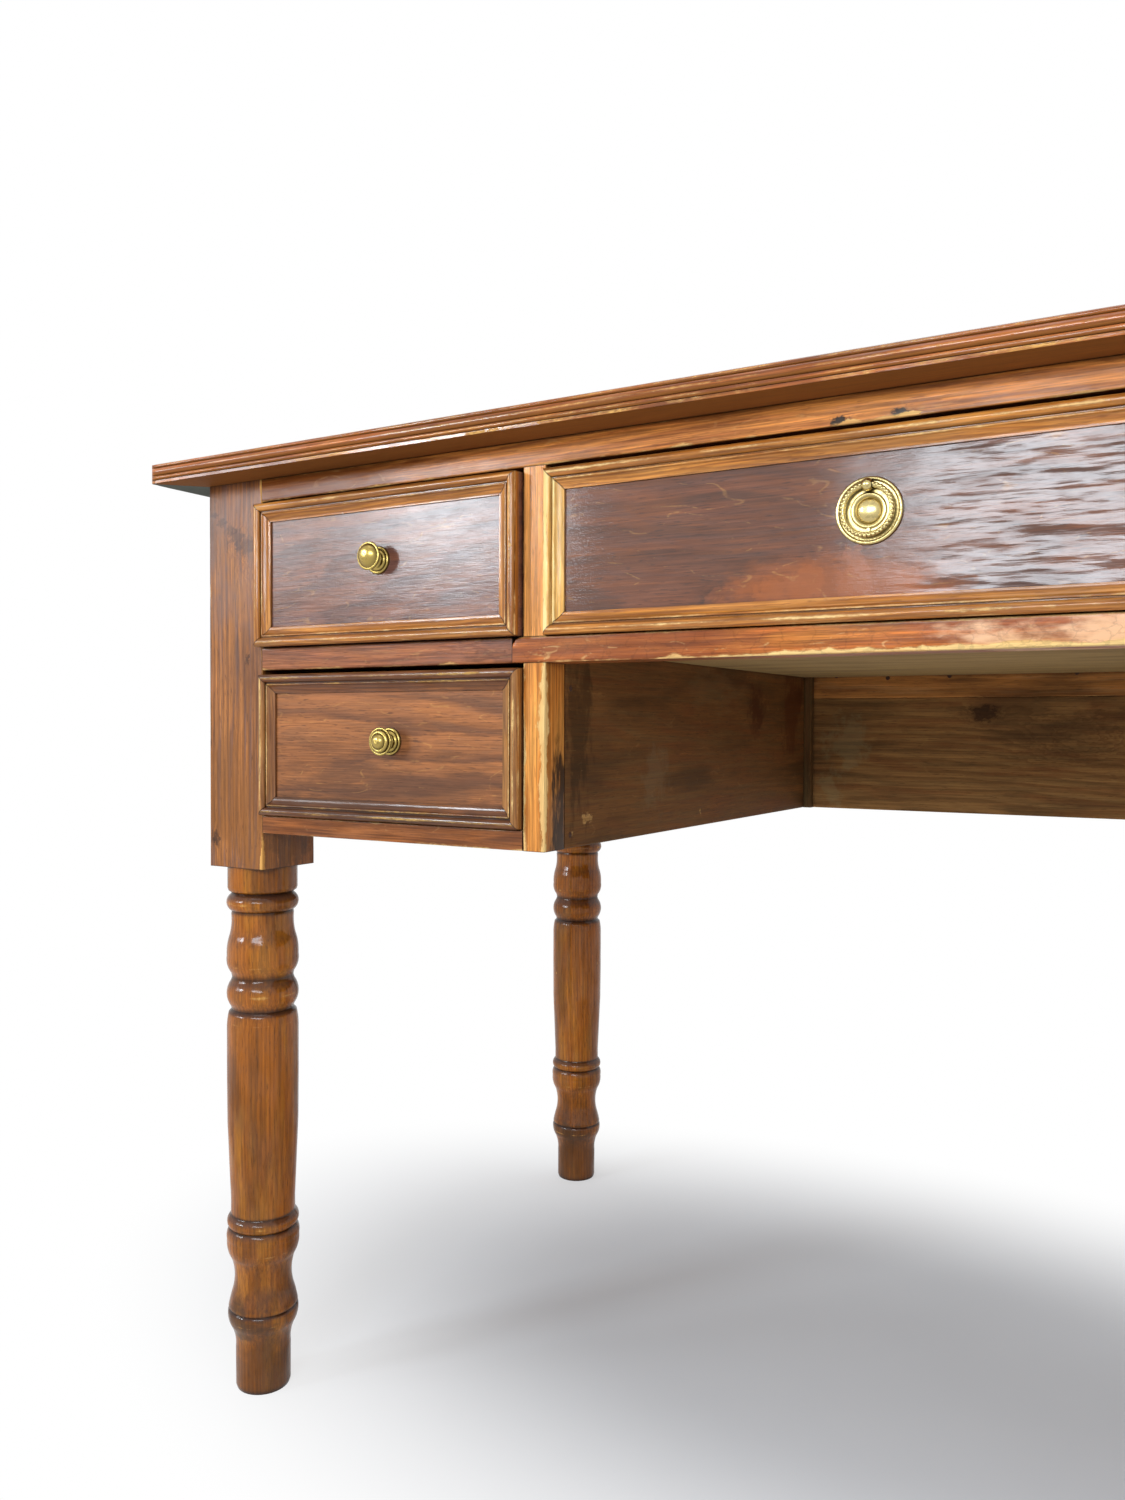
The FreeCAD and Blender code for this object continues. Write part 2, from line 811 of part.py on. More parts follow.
def drawer(name, centre_x, opening_width, opening_floor, opening_height, out, hole_x, hole_z):
    """Front, mitred moulding, box and bottom of one drawer, pulled out by the length out."""
    width = opening_width - S.side_gap * 2
    height = opening_height - S.floor_gap - S.top_gap
    side_height = height - S.side_drop
    face_y = front - out
    floor_z = opening_floor + S.floor_gap
    left_x = centre_x - width / 2

    board_front = drawer_front(f"{name}_front", width, height, side_height, hole_x, hole_z)
    place(board_front, centre_x, face_y, floor_z)
    keep(f"{name}_front", board_front)

    lower = strip(f"{name}_lower", width, S.moulding_width, S.moulding_height, moulding_shares)
    place(lower, centre_x, face_y, floor_z, OUTWARDS)
    left = strip(f"{name}_left", height, S.moulding_width, S.moulding_height, moulding_shares)
    place(left, left_x, face_y, floor_z + height / 2, UPRIGHT)
    upper = mirrored(f"{name}_upper", lower, centre_z=floor_z + height / 2)
    right = mirrored(f"{name}_right", left, centre_x=centre_x)
    keep(f"{name}_moulding", group(f"{name}_moulding", [lower, upper, left, right]))

    left_side = drawer_side(f"{name}_side", side_height)
    place(left_side, left_x, face_y + S.front_thick, floor_z)
    right_side = mirrored(f"{name}_right_side", left_side, centre_x=centre_x)
    back_floor = S.bottom_rise + S.bottom_thick
    rear = board(
        f"{name}_back",
        left_x + S.side_thick,
        face_y + S.front_thick + drawer_length - S.side_thick,
        floor_z + back_floor,
        width - S.side_thick * 2,
        S.side_thick,
        side_height - S.back_drop - back_floor,
    )
    keep(f"{name}_box", group(f"{name}_box", [left_side, right_side, rear]))

    reach = S.groove_depth - S.panel_slip
    bottom = board(
        f"{name}_bottom",
        left_x + S.side_thick - reach,
        face_y + S.front_thick - reach,
        floor_z + S.bottom_rise,
        width - S.side_thick * 2 + reach * 2,
        drawer_length + reach,
        S.bottom_thick - S.panel_slip,
    )
    keep(f"{name}_bottom", bottom)
    return height


def nut_on_shank(name):
    """A round nut on the shank, against the inside of a drawer front, with its axis on Z."""
    nut = new_body(name)
    bore = S.shank_size / 2 + S.shank_slip
    rim = S.nut_size / 2
    inside = -(S.front_thick + S.nut_thick)
    turn(nut, (bore, inside), [(rim, inside), (rim, -S.front_thick), (bore, -S.front_thick)])
    return nut


def shank_outline():
    """The shank's outline below the drawer's face, from its end up."""
    end = -(S.front_thick + S.nut_thick + S.shank_tail)
    return (NOTHING, end), [(S.shank_size / 2, end), (S.shank_size / 2, NOTHING)]


def knob(name, x, y, z):
    """Turned knob with its shank, and the nut that holds it."""
    turned = new_body(f"{name}_turned")
    start, outline = shank_outline()
    base = S.knob_base / 2
    outline.append((base, NOTHING))
    outline += scaled(rosette_shares, base, S.knob_reach)
    outline += [(S.knob_neck / 2, S.knob_reach * share) for share in neck_shares]
    outline += scaled(cap_shares, S.knob_cap / 2, S.knob_reach)
    turn(turned, start, outline)
    nut = nut_on_shank(f"{name}_nut")
    for piece in (turned, nut):
        place(piece, x, y, z, OUTWARDS)
    keep(name, group(name, [turned, nut]))


# Drawers and their knobs
side_centre = post_inside - S.side_opening / 2
upper_height = S.upper_opening - S.floor_gap - S.top_gap
lower_height = S.lower_opening - S.floor_gap - S.top_gap
for side, sign in (("left", -1), ("right", 1)):
    for row, floor_level, opening, height in (
        ("upper", mid_rail_top, S.upper_opening, upper_height),
        ("lower", lower_rail_top, S.lower_opening, lower_height),
    ):
        name = f"{row}_{side}_drawer"
        out = S.pulled_out if name == "upper_left_drawer" else NOTHING
        shift = S.lower_knob_shift * -sign if row == "lower" else NOTHING
        knob_z = height / 2 + S.knob_lift
        drawer(
            name, side_centre * sign, S.side_opening, floor_level, opening, out, shift, knob_z
        )
        knob(
            f"{row}_{side}_knob",
            side_centre * sign + shift,
            front - out,
            floor_level + S.floor_gap + knob_z,
        )

# Centre drawer, with its ring pull
ring_radius = (S.bail_size - S.bail_wire) / 2
pull_z = upper_height / 2 + S.pull_rise
drawer(
    "centre_drawer",
    NOTHING,
    centre_half * 2,
    mid_rail_top,
    S.upper_opening,
    NOTHING,
    NOTHING,
    pull_z + ring_radius,
)
pull_level = mid_rail_top + S.floor_gap + pull_z
ball_level = pull_level + ring_radius

plate = new_body("ring_plate")
plate_radius = S.plate_size / 2
dome_rim = S.dome_rim_size / 2
plate_outline = [(plate_radius, NOTHING)]
plate_outline += scaled(plate_rim_shares, plate_radius, S.plate_rim)
plate_outline += scaled(plate_floor_shares, plate_radius, S.plate_floor)
plate_outline += scaled(dome_rim_shares, dome_rim, S.plate_rim)
plate_outline += scaled(dome_shares, S.dome_size / 2, S.dome_height)
turn(plate, (NOTHING, NOTHING), plate_outline)
stem_hole = sketch_on(plate, "XY_Plane")
stem_hole.addGeometry(
    Part.Circle(
        FreeCAD.Vector(0, float(ring_radius), 0),
        FreeCAD.Vector(0, 0, 1),
        float(S.ball_stem) / 2 + float(S.shank_slip),
    ),
    False,
)
pocket(plate, stem_hole)
place(plate, NOTHING, front, pull_level, OUTWARDS)
pin = doc.addObject("Part::Cylinder", "ring_plate_pin")
tie(pin, "Radius", S.pin_head / 2)
tie(pin, "Height", S.pin_height)
place(
    pin,
    NOTHING,
    front - S.plate_floor,
    pull_level - (dome_rim + ring_radius - S.bail_wire / 2) / 2,
    OUTWARDS,
)
keep("ring_pull_plate", group("ring_pull_plate", [plate, pin]))

ball = new_body("ring_pull_ball")
start, ball_outline = shank_outline()
stem = S.ball_stem / 2
ball_radius = S.ball_size / 2
ball_centre = S.ball_reach - ball_radius
meet = (float(ball_radius) ** 2 - float(stem) ** 2) ** 0.5 / float(ball_radius)
ball_outline += [
    (stem, NOTHING),
    (stem, ball_centre - ball_radius * meet),
    ((ball_radius, ball_centre), (NOTHING, S.ball_reach)),
]
turn(ball, start, ball_outline)
eye = sketch_on(ball, "YZ_Plane")
eye.addGeometry(
    Part.Circle(
        FreeCAD.Vector(0, float(ball_centre), 0),
        FreeCAD.Vector(0, 0, 1),
        (float(S.bail_wire) + float(S.bail_slip)) / 2,
    ),
    False,
)
pocket(ball, eye)
nut = nut_on_shank("ring_pull_nut")
for piece in (ball, nut):
    place(piece, NOTHING, front, ball_level, OUTWARDS)
keep("ring_pull_post", group("ring_pull_post", [ball, nut]))

bail = doc.addObject("Part::Torus", "ring_pull_bail")
tie(bail, "Radius1", ring_radius)
tie(bail, "Radius2", S.bail_wire / 2)
place(bail, NOTHING, front - ball_centre, pull_level, OUTWARDS)
keep("ring_pull_bail", bail)

doc.recompute()

for thing in doc.Objects:
    if "Invalid" in thing.State or "Error" in thing.State:
        raise RuntimeError(f"{thing.Name} failed: {thing.State}")
for label, piece in nodes.items():
    if piece.Shape.isNull() or not piece.Shape.isValid() or not piece.Shape.Solids:
        raise RuntimeError(f"{label} has no sound shape")

os.makedirs("parts", exist_ok=True)
for label, piece in nodes.items():
    piece.Shape.exportStep(f"parts/{label}.step")
print(f"{len(nodes)} sub-parts, {sum(len(p.Shape.Solids) for p in nodes.values())} solids")
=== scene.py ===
import logging
import math
import random
from collections.abc import Callable
from dataclasses import dataclass, replace
from enum import Enum

import bmesh
import bpy
import numpy as np
from mathutils import Matrix, Vector, noise


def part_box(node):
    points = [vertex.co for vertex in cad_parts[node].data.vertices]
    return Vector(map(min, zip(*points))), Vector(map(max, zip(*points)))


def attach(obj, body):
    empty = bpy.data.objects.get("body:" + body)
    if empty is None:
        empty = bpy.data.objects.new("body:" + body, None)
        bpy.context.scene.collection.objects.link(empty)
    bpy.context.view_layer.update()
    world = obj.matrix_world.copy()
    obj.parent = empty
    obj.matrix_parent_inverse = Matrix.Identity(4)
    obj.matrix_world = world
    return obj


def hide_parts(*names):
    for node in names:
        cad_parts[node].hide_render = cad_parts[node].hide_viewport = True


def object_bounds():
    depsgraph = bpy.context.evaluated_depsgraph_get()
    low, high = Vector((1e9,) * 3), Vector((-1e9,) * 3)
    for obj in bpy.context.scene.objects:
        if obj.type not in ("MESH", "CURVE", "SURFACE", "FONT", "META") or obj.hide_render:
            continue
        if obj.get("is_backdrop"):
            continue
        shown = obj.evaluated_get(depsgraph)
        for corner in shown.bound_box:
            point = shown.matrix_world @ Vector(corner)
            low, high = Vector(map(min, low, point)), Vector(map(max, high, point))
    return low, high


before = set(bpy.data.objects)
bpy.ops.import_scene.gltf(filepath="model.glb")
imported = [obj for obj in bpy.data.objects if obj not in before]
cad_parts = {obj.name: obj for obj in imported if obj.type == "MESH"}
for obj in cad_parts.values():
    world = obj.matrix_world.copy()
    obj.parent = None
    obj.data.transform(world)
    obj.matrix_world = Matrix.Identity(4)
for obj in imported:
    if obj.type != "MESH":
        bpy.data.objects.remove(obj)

log = logging.getLogger("writing_desk")
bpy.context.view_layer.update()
MM = 0.001
CARCASS = "carcass"
# Places in Y, in millimetres: the front of the rails, and the middle of a veneer's spots
RAIL_FACE = round(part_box("upper_front_rail")[0].y / MM, 3)
VENEER_HEART = RAIL_FACE + 5.0
# A worn piece carries two numbers at each of its points, which its finish reads. WORN is
# WORN_FROM plus how many millimetres the point lies inside the worn strip, kept between 0 and
# WORN_MOST. Further inside than DEEPEST_REACH_MM the wood is cut no deeper. GRIME is 1 in a joint
# or a groove and 0 on open wood, and END_GRIME is how long a joint's grime is.
WORN = "worn"
WORN_FROM = 4.0
WORN_MOST = 12.0
DEEPEST_REACH_MM = 6.0
GRIME = "grime"
END_GRIME = 0.7 * MM
# A corner that turns by more than this is drawn sharp
SHARP = math.radians(42)


class Axis(Enum):
    """The direction that a piece of wood runs in, as an index of X, Y and Z."""

    X = 0
    Y = 1
    Z = 2

    @property
    def across(self) -> tuple[int, int]:
        """The two other directions, in right-handed order."""
        return (self.value + 1) % 3, (self.value + 2) % 3

    @property
    def turn(self) -> Matrix:
        """Turns local (along, across, up) into the desk's X, Y and Z.

        Returns:
            The matrix.
        """
        turned = Matrix.Identity(4)
        for column, row in enumerate((self.value, *self.across)):
            for other in range(3):
                turned[other][column] = 1.0 if other == row else 0.0
        return turned


class Node(Enum):
    """The kinds of node that finishes and repeated shapes are made of."""

    SHADER = "ShaderNodeBsdfPrincipled"
    GLOW = "ShaderNodeEmission"
    EITHER = "ShaderNodeMixShader"
    OUTPUT = "ShaderNodeOutputMaterial"
    RAY = "ShaderNodeLightPath"
    SKY = "ShaderNodeBackground"
    SKY_OUTPUT = "ShaderNodeOutputWorld"
    PLACE = "ShaderNodeTexCoord"
    MAPPING = "ShaderNodeMapping"
    SPLIT = "ShaderNodeSeparateXYZ"
    JOIN = "ShaderNodeCombineXYZ"
    RED = "ShaderNodeSeparateColor"
    MATH = "ShaderNodeMath"
    VECTOR = "ShaderNodeVectorMath"
    RANGE = "ShaderNodeMapRange"
    MIX = "ShaderNodeMix"
    NOISE = "ShaderNodeTexNoise"
    CELLS = "ShaderNodeTexVoronoi"
    STORED = "ShaderNodeAttribute"
    FACING = "ShaderNodeNewGeometry"
    HOLLOW = "ShaderNodeAmbientOcclusion"
    BUMP = "ShaderNodeBump"
    INPUT = "NodeGroupInput"
    RESULT = "NodeGroupOutput"
    INDEX = "GeometryNodeInputIndex"
    LINE = "GeometryNodeMeshLine"
    CIRCLE = "GeometryNodeCurvePrimitiveCircle"
    WIRE = "GeometryNodeCurveToMesh"
    BALL = "GeometryNodeMeshUVSphere"
    CONE = "GeometryNodeMeshCone"
    PUT = "GeometryNodeSetPosition"
    REPEAT = "GeometryNodeInstanceOnPoints"
    GATHER = "GeometryNodeJoinGeometry"
    SMOOTH = "GeometryNodeSetShadeSmooth"
    REALIZE = "GeometryNodeRealizeInstances"
    FINISH = "GeometryNodeSetMaterial"


PLUS = {"operation": "ADD"}
MINUS = {"operation": "SUBTRACT"}
TIMES = {"operation": "MULTIPLY"}
PLUS_TIMES = {"operation": "MULTIPLY_ADD"}
LARGER = {"operation": "MAXIMUM"}
LENGTH = {"operation": "LENGTH"}
SOFT = {"interpolation_type": "SMOOTHSTEP"}
BLEND = {"data_type": "RGBA", "clamp_factor": True}
TINT = {"data_type": "RGBA", "clamp_factor": True, "blend_type": "MULTIPLY"}


class Figure(Enum):
    """The patterns of old pine, of its polish and of its wear.

    Each has a fleck's size in millimetres across and along the grain, how many finer layers it
    has and how strong they are. Real fibres and pores are under 0.1 mm wide, too fine to show, so
    they are drawn about 1 mm wide.
    """

    FIBRE = (0.9, 34.0, 4.0, 0.62)
    PORES = (0.9, 11.0, 2.0, 0.5)
    STREAKS = (2.2, 130.0, 3.0, 0.6)
    GLOW = (13.0, 90.0, 3.0, 0.55)
    GREY = (4.2, 210.0, 3.0, 0.55)
    STAIN = (34.0, 150.0, 3.0, 0.55)
    BENT_TREE = (75.0, 330.0, 2.0, 0.5)
    RAGGED_RINGS = (9.0, 90.0, 2.0, 0.6)
    RAGGED_WEAR = (1.1, 5.0, 4.0, 0.7)
    SHELLAC = (12.0, 26.0, 4.0, 0.65)
    CRACKLE = (4.0, 4.0, 3.0, 0.55)
    SCRATCHES = (13.0, 42.0, 1.0, 0.4)
    SCRATCHED_PLACES = (9.0, 16.0, 3.0, 0.7)
    SAGS = (26.0, 80.0, 2.0, 0.5)
    PEEL = (3.5, 14.0, 2.0, 0.6)
    RIPPLES = (12.0, 54.0, 2.2, 0.42)


def linear(hex_colour: str) -> tuple[float, float, float, float]:
    """Turns an sRGB hex value into linear colour.

    Args:
        hex_colour: a value such as "#8a5a33".

    Returns:
        Red, green, blue and alpha.
    """
    parts = [int(hex_colour[i : i + 2], 16) / 255 for i in (1, 3, 5)]
    bent = [c / 12.92 if c <= 0.04045 else ((c + 0.055) / 1.055) ** 2.4 for c in parts]
    return (*bent, 1.0)


class Tree:
    """A node tree under construction."""

    def __init__(self, tree: bpy.types.NodeTree) -> None:
        """Starts with no nodes."""
        self.tree = tree
        self.tree.nodes.clear()

    def add(self, kind: Node, *inputs: object, named: dict | None = None,
            **settings: object) -> bpy.types.Node:
        """Adds a node with its settings and links.

        Args:
            kind: what the node does.
            *inputs: for each of its inputs in order, a value, an output, a node whose first
                output is taken, or None to leave it.
            named: the same, by the input's name.
            **settings: attributes of the node, set before its inputs.

        Returns:
            The node.
        """
        node = self.tree.nodes.new(kind.value)
        for key, value in settings.items():
            setattr(node, key, value)
        given = list(zip((s for s in node.inputs if s.enabled), inputs))
        given += [(node.inputs[key], value) for key, value in (named or {}).items()]
        for socket, value in given:
            if isinstance(value, bpy.types.Node):
                value = next(o for o in value.outputs if o.enabled)
            if isinstance(value, bpy.types.NodeSocket):
                self.tree.links.new(value, socket)
            elif value is not None:
                socket.default_value = value
        return node


class Finish(Tree):
    """A material under construction, with its patterns laid out in millimetres."""

    def __init__(self, name: str, grain: Axis = Axis.Z,
                 offset_mm: tuple[float, float, float] = (0.0, 0.0, 0.0)) -> None:
        """Starts a material.

        Args:
            name: the material's name.
            grain: the direction that its patterns are drawn out in.
            offset_mm: how far its patterns are shifted, to make a board its own.
        """
        self.material = bpy.data.materials.new(name)
        self.material.use_nodes = True
        super().__init__(self.material.node_tree)
        self.shader = self.add(Node.SHADER)
        self.output = self.add(Node.OUTPUT, self.shader)
        coords = self.add(Node.PLACE).outputs["Object"]
        scaled = self.add(Node.MAPPING, coords, offset_mm, None, (1 / MM,) * 3)
        parts = self.add(Node.SPLIT, scaled).outputs
        u, v = grain.across
        self.place = self.add(Node.JOIN, parts[u], parts[v], parts[grain.value])

    def flecks(self, across_mm: float, along_mm: float, layers: float = 3.0,
               rough: float = 0.55, place: object = None) -> bpy.types.Node:
        """Flecks drawn out along the grain.

        Args:
            across_mm: size of a fleck across the grain.
            along_mm: its size along the grain.
            layers: how many finer layers it has.
            rough: strength of the finer layers.
            place: the point in millimetres, if it isn't the plain one.

        Returns:
            The noise node, about 0.5 on average.
        """
        size = (1 / across_mm, 1 / across_mm, 1 / along_mm)
        shrunk = self.add(Node.VECTOR, place or self.place, size, **TIMES)
        return self.add(Node.NOISE, shrunk, 1.0, layers, rough)

    def wire(self, **sockets: object) -> None:
        """Sets or links the shader's inputs.

        Args:
            **sockets: a value or a node for each input, named with _ for a space.
        """
        for name, value in sockets.items():
            socket = self.shader.inputs[name.replace("_", " ")]
            if isinstance(value, bpy.types.Node):
                self.tree.links.new(next(o for o in value.outputs if o.enabled), socket)
            else:
                socket.default_value = value


@dataclass(frozen=True)
class Spot:
    """A knot, a knock or a stain at a point, in millimetres in the desk's own axes.

    Args:
        at: its middle.
        across: its size across the grain.
        along: its size along the grain.
        amount: growth rings that bulge round a knot, or millimetres that a knock bares.
        depth: how far its heart takes the tone, from 0 to 1.
        tone: the colour of its heart.
    """

    at: tuple[float, float, float]
    across: float
    along: float
    amount: float = 0.0
    depth: float = 0.0
    tone: str = "#2c160c"


@dataclass(frozen=True)
class Pine:
    """Sawn and planed softwood, stained and shellacked long ago.

    Bands of growth rings with dark late wood show through the stain. Fine fibre breaks up the
    gloss, the stain has pooled in some places and gone grey in others, and use has worn the
    edges bare. Strengths run from 0 to 1.

    Args:
        name: the material's name.
        grain: the direction that the wood runs in.
        early: colour of the pale wood of a year's ring.
        late: colour of its dark wood.
        grey: colour of the streaks that have gone grey.
        stain: colour of the places where the stain has pooled, and of the pores.
        glow: colour of the warm patches.
        bare: colour of wood that is worn bare.
        raw: colour of a side that was never finished.
        grime_and_shade: colour of grime in hollows and joints, and of painted shade in hollows.
        dust_and_reflection_tone: colour of what has gathered on faces that look up, and of a painted
            reflection there.
        ring_mm: width of a year's ring.
        pith_mm: where the heart of the tree lies, across the grain.
        lean: how far the rings drift for each millimetre along the grain.
        warp_mm: how far the rings wander.
        ring_depth: strength of the dark wood.
        ring_stray: how ragged the rings are, in rings.
        streaks: strength of the long streaks.
        greyed: strength of the grey.
        stained: strength of the pooled stain.
        glowing: strength of the warm patches.
        fibre: strength of the fine fibre.
        pores: strength of the short pores.
        roughness: of the wood under its polish.
        specular: level of the wood's own gloss.
        coat: weight of the shellac.
        coat_roughness: how dull the shellac is.
        coat_low_share: the shellac's least weight, as a share of its weight.
        nick_share: the share of places that hold a nick.
        nick_mm: from one such place to the next.
        ragged_mm: how far the rim of a worn place comes and goes.
        crevice_grime_and_shade: strength of the grime and painted shade in hollows.
        crevice_mm: how near a surface must be for a hollow to take grime and painted shade.
        open_air: how open a place is once it has neither grime nor painted shade.
        scratches: strength of the fine scratches.
        crackle: strength of the cracks in the shellac.
        crack_mm: from one crack to the next.
        ripple_mm: height of the ripples in the polish.
        sag_mm: height of its slow sags.
        peel_mm: height of its fine unevenness.
        knots: spots in the wood.
        knocks: spots that are knocked bare.
        dust_and_reflection: strength of what has gathered on faces that look up, and of the painted
            reflection there.
        raw_side: the direction that an unfinished side faces, or None.
        stray_shares: how ragged a spot's rim is, as a share of its size.
        offset_mm: shift of the patterns, which makes a board its own.
    """

    name: str
    grain: Axis = Axis.X
    early: str = "#a8602c"
    late: str = "#74391c"
    grey: str = "#6d4532"
    stain: str = "#4c2814"
    glow: str = "#bd7427"
    bare: str = "#dba157"
    raw: str = "#d09a55"
    grime_and_shade: str = "#1f0f07"
    dust_and_reflection_tone: str = "#48302a"
    ring_mm: float = 6.0
    pith_mm: tuple[float, float] = (-45.0, 60.0)
    lean: float = 0.03
    warp_mm: float = 18.0
    ring_depth: float = 0.6
    ring_stray: float = 0.5
    streaks: float = 0.2
    greyed: float = 0.35
    stained: float = 0.45
    glowing: float = 0.45
    fibre: float = 0.28
    pores: float = 0.45
    roughness: float = 0.42
    specular: float = 0.12
    coat: float = 0.4
    coat_roughness: float = 0.16
    coat_low_share: float = 0.6
    nick_share: float = 0.12
    nick_mm: tuple[float, float, float] = (22.0, 22.0, 40.0)
    ragged_mm: float = 1.5
    crevice_grime_and_shade: float = 0.75
    crevice_mm: float = 7.0
    open_air: float = 0.78
    scratches: float = 0.0
    crackle: float = 0.0
    crack_mm: tuple[float, float, float] = (9.0, 9.0, 16.0)
    ripple_mm: float = 0.0
    sag_mm: float = 0.25
    peel_mm: float = 0.06
    knots: tuple[Spot, ...] = ()
    knocks: tuple[Spot, ...] = ()
    dust_and_reflection: float = 0.0
    raw_side: tuple[float, float, float] | None = None
    stray_shares: float = 2.6
    offset_mm: tuple[float, float, float] = (0.0, 0.0, 0.0)

    def build(self) -> bpy.types.Material:
        """Makes the material.

        Returns:
            The material.
        """
        f = Finish(self.name, self.grain, self.offset_mm)
        late, bent = self.rings(f)
        fibre = f.flecks(*Figure.FIBRE.value)
        colour = self.colour(f, late, bent, fibre)
        shade = f.add(Node.RANGE, fibre, 0.2, 0.8, 0.72, 1.12, **SOFT)
        wood = f.add(Node.MIX, 1.0, linear(self.bare), shade, **TINT)
        grained = f.add(Node.MATH, late, 0.4, **TIMES)
        wood = f.add(Node.MIX, grained, wood, linear(self.early), **BLEND)
        thin, bare = self.bareness(f)
        colour = f.add(Node.MIX, f.add(Node.MATH, thin, 0.45, **TIMES), colour, wood, **BLEND)
        colour = f.add(Node.MIX, bare, colour, wood, **BLEND)
        if self.raw_side:
            normal = f.add(Node.FACING).outputs["True Normal"]
            turned = f.add(Node.VECTOR, normal, self.raw_side, operation="DOT_PRODUCT")
            raw = f.add(Node.RANGE, turned, 0.15, 0.6, **SOFT)
            plain = f.add(Node.MIX, 1.0, linear(self.raw), shade, **TINT)
            colour = f.add(Node.MIX, raw, colour, plain, **BLEND)
            bare = f.add(Node.MATH, bare, raw, **LARGER)
        dull = f.add(Node.RANGE, fibre, 0.2, 0.8, self.roughness - 0.06, self.roughness + 0.08, **SOFT)
        f.wire(Base_Color=self.grimed_and_shaded(f, colour), Specular_IOR_Level=self.specular,
               Roughness=f.add(Node.MATH, bare, 0.25, dull, **PLUS_TIMES))
        if self.coat:
            left = f.add(Node.MATH, 1.0, bare, **MINUS)
            uneven = f.add(Node.RANGE, f.flecks(*Figure.SHELLAC.value), 0.35, 0.62,
                           self.coat * self.coat_low_share, self.coat, **SOFT)
            f.wire(Coat_Weight=f.add(Node.MATH, left, uneven, **TIMES),
                   Coat_Roughness=self.coat_roughness)
        relief = self.relief(f, fibre, bare)
        f.wire(Normal=relief, Coat_Normal=relief)
        return f.material

    def ordered(self, point: tuple[float, float, float]) -> tuple[float, float, float]:
        """Puts a point in the pattern's own axes.

        Args:
            point: the point in the desk's axes, in millimetres.

        Returns:
            The point, shifted as the pattern is, with its number along the grain last.
        """
        moved = [p + o for p, o in zip(point, self.offset_mm)]
        u, v = self.grain.across
        return moved[u], moved[v], moved[self.grain.value]

    def near(self, f: Finish, spot: Spot) -> bpy.types.Node:
        """How near a point is to a spot, whose rim is ragged.

        Args:
            f: the material.
            spot: the spot.

        Returns:
            1 in the middle of the spot, and 0 about two sizes away.
        """
        stray = f.flecks(spot.across * 0.7, spot.along * 0.7, 3.0, 0.65).outputs["Color"]
        stray = f.add(Node.VECTOR, stray, (0.5,) * 3, **MINUS)
        away = f.add(Node.VECTOR, f.place, self.ordered(spot.at), **MINUS)
        away = f.add(Node.VECTOR, away, (1 / spot.across, 1 / spot.across, 1 / spot.along), **TIMES)
        away = f.add(Node.VECTOR, stray, (self.stray_shares,) * 3, away, **PLUS_TIMES)
        square = f.add(Node.VECTOR, away, away, operation="DOT_PRODUCT")
        return f.add(Node.MATH, math.exp(-1), square, operation="POWER")

    def rings(self, f: Finish) -> tuple[bpy.types.Node, bpy.types.Node]:
        """Growth rings round a pith that runs beside the board, bulging at each knot.

        Args:
            f: the material.

        Returns:
            The dark late wood from 0 to 1, and the point bent as the tree grew.
        """
        wander = f.flecks(*Figure.BENT_TREE.value).outputs["Color"]
        wander = f.add(Node.VECTOR, wander, (0.5,) * 3, **MINUS)
        bent = f.add(Node.VECTOR, wander, (self.warp_mm * 2, self.warp_mm * 2, 0), f.place,
                     **PLUS_TIMES)
        pith = f.add(Node.VECTOR, bent, (*self.pith_mm, 0), **MINUS)
        parts = f.add(Node.SPLIT, pith).outputs
        leaning = f.add(Node.MATH, parts[2], self.lean, parts[0], **PLUS_TIMES)
        flat = f.add(Node.JOIN, leaning, parts[1], 0.0)
        count = f.add(Node.VECTOR, flat, **LENGTH)
        count = f.add(Node.MATH, count, self.ring_mm, operation="DIVIDE")
        ragged = f.flecks(*Figure.RAGGED_RINGS.value)
        count = f.add(Node.MATH, ragged, self.ring_stray, count, **PLUS_TIMES)
        for knot in self.knots:
            count = f.add(Node.MATH, self.near(f, knot), knot.amount, count, **PLUS_TIMES)
        phase = f.add(Node.MATH, count, operation="FRACT")
        darkens = f.add(Node.RANGE, phase, 0.2, 0.82, **SOFT)
        ends = f.add(Node.RANGE, phase, 0.88, 1.0, 1.0, 0.0, **SOFT)
        return f.add(Node.MATH, darkens, ends, **TIMES), bent

    def colour(self, f: Finish, late: object, bent: object, fibre: object) -> bpy.types.Node:
        """The stained wood, before any wear.

        Args:
            f: the material.
            late: where the late wood is.
            bent: the point bent as the tree grew.
            fibre: the fine fibre.

        Returns:
            The colour.
        """
        depth = f.add(Node.MATH, late, self.ring_depth, **TIMES)
        colour = f.add(Node.MIX, depth, linear(self.early), linear(self.late), **BLEND)
        for figure, low, high, strength, tone in (
            (Figure.GLOW, 0.45, 0.68, self.glowing, self.glow),
            (Figure.GREY, 0.5, 0.62, self.greyed, self.grey),
            (Figure.STAIN, 0.45, 0.68, self.stained, self.stain),
        ):
            patch = f.flecks(*figure.value, bent)
            patch = f.add(Node.RANGE, patch, low, high, 0.0, strength, **SOFT)
            colour = f.add(Node.MIX, patch, colour, linear(tone), **BLEND)
        value = f.add(Node.RANGE, fibre, 0.25, 0.75, 1 - self.fibre, 1 + self.fibre, **SOFT)
        colour = f.add(Node.MIX, 1.0, colour, value, **TINT)
        streak = f.add(Node.RANGE, f.flecks(*Figure.STREAKS.value), 0.3, 0.7, 1 - self.streaks,
                       1 + self.streaks, **SOFT)
        colour = f.add(Node.MIX, 1.0, colour, streak, **TINT)
        dash = f.flecks(*Figure.PORES.value)
        dash = f.add(Node.RANGE, dash, 0.58, 0.7, 0.0, self.pores, **SOFT)
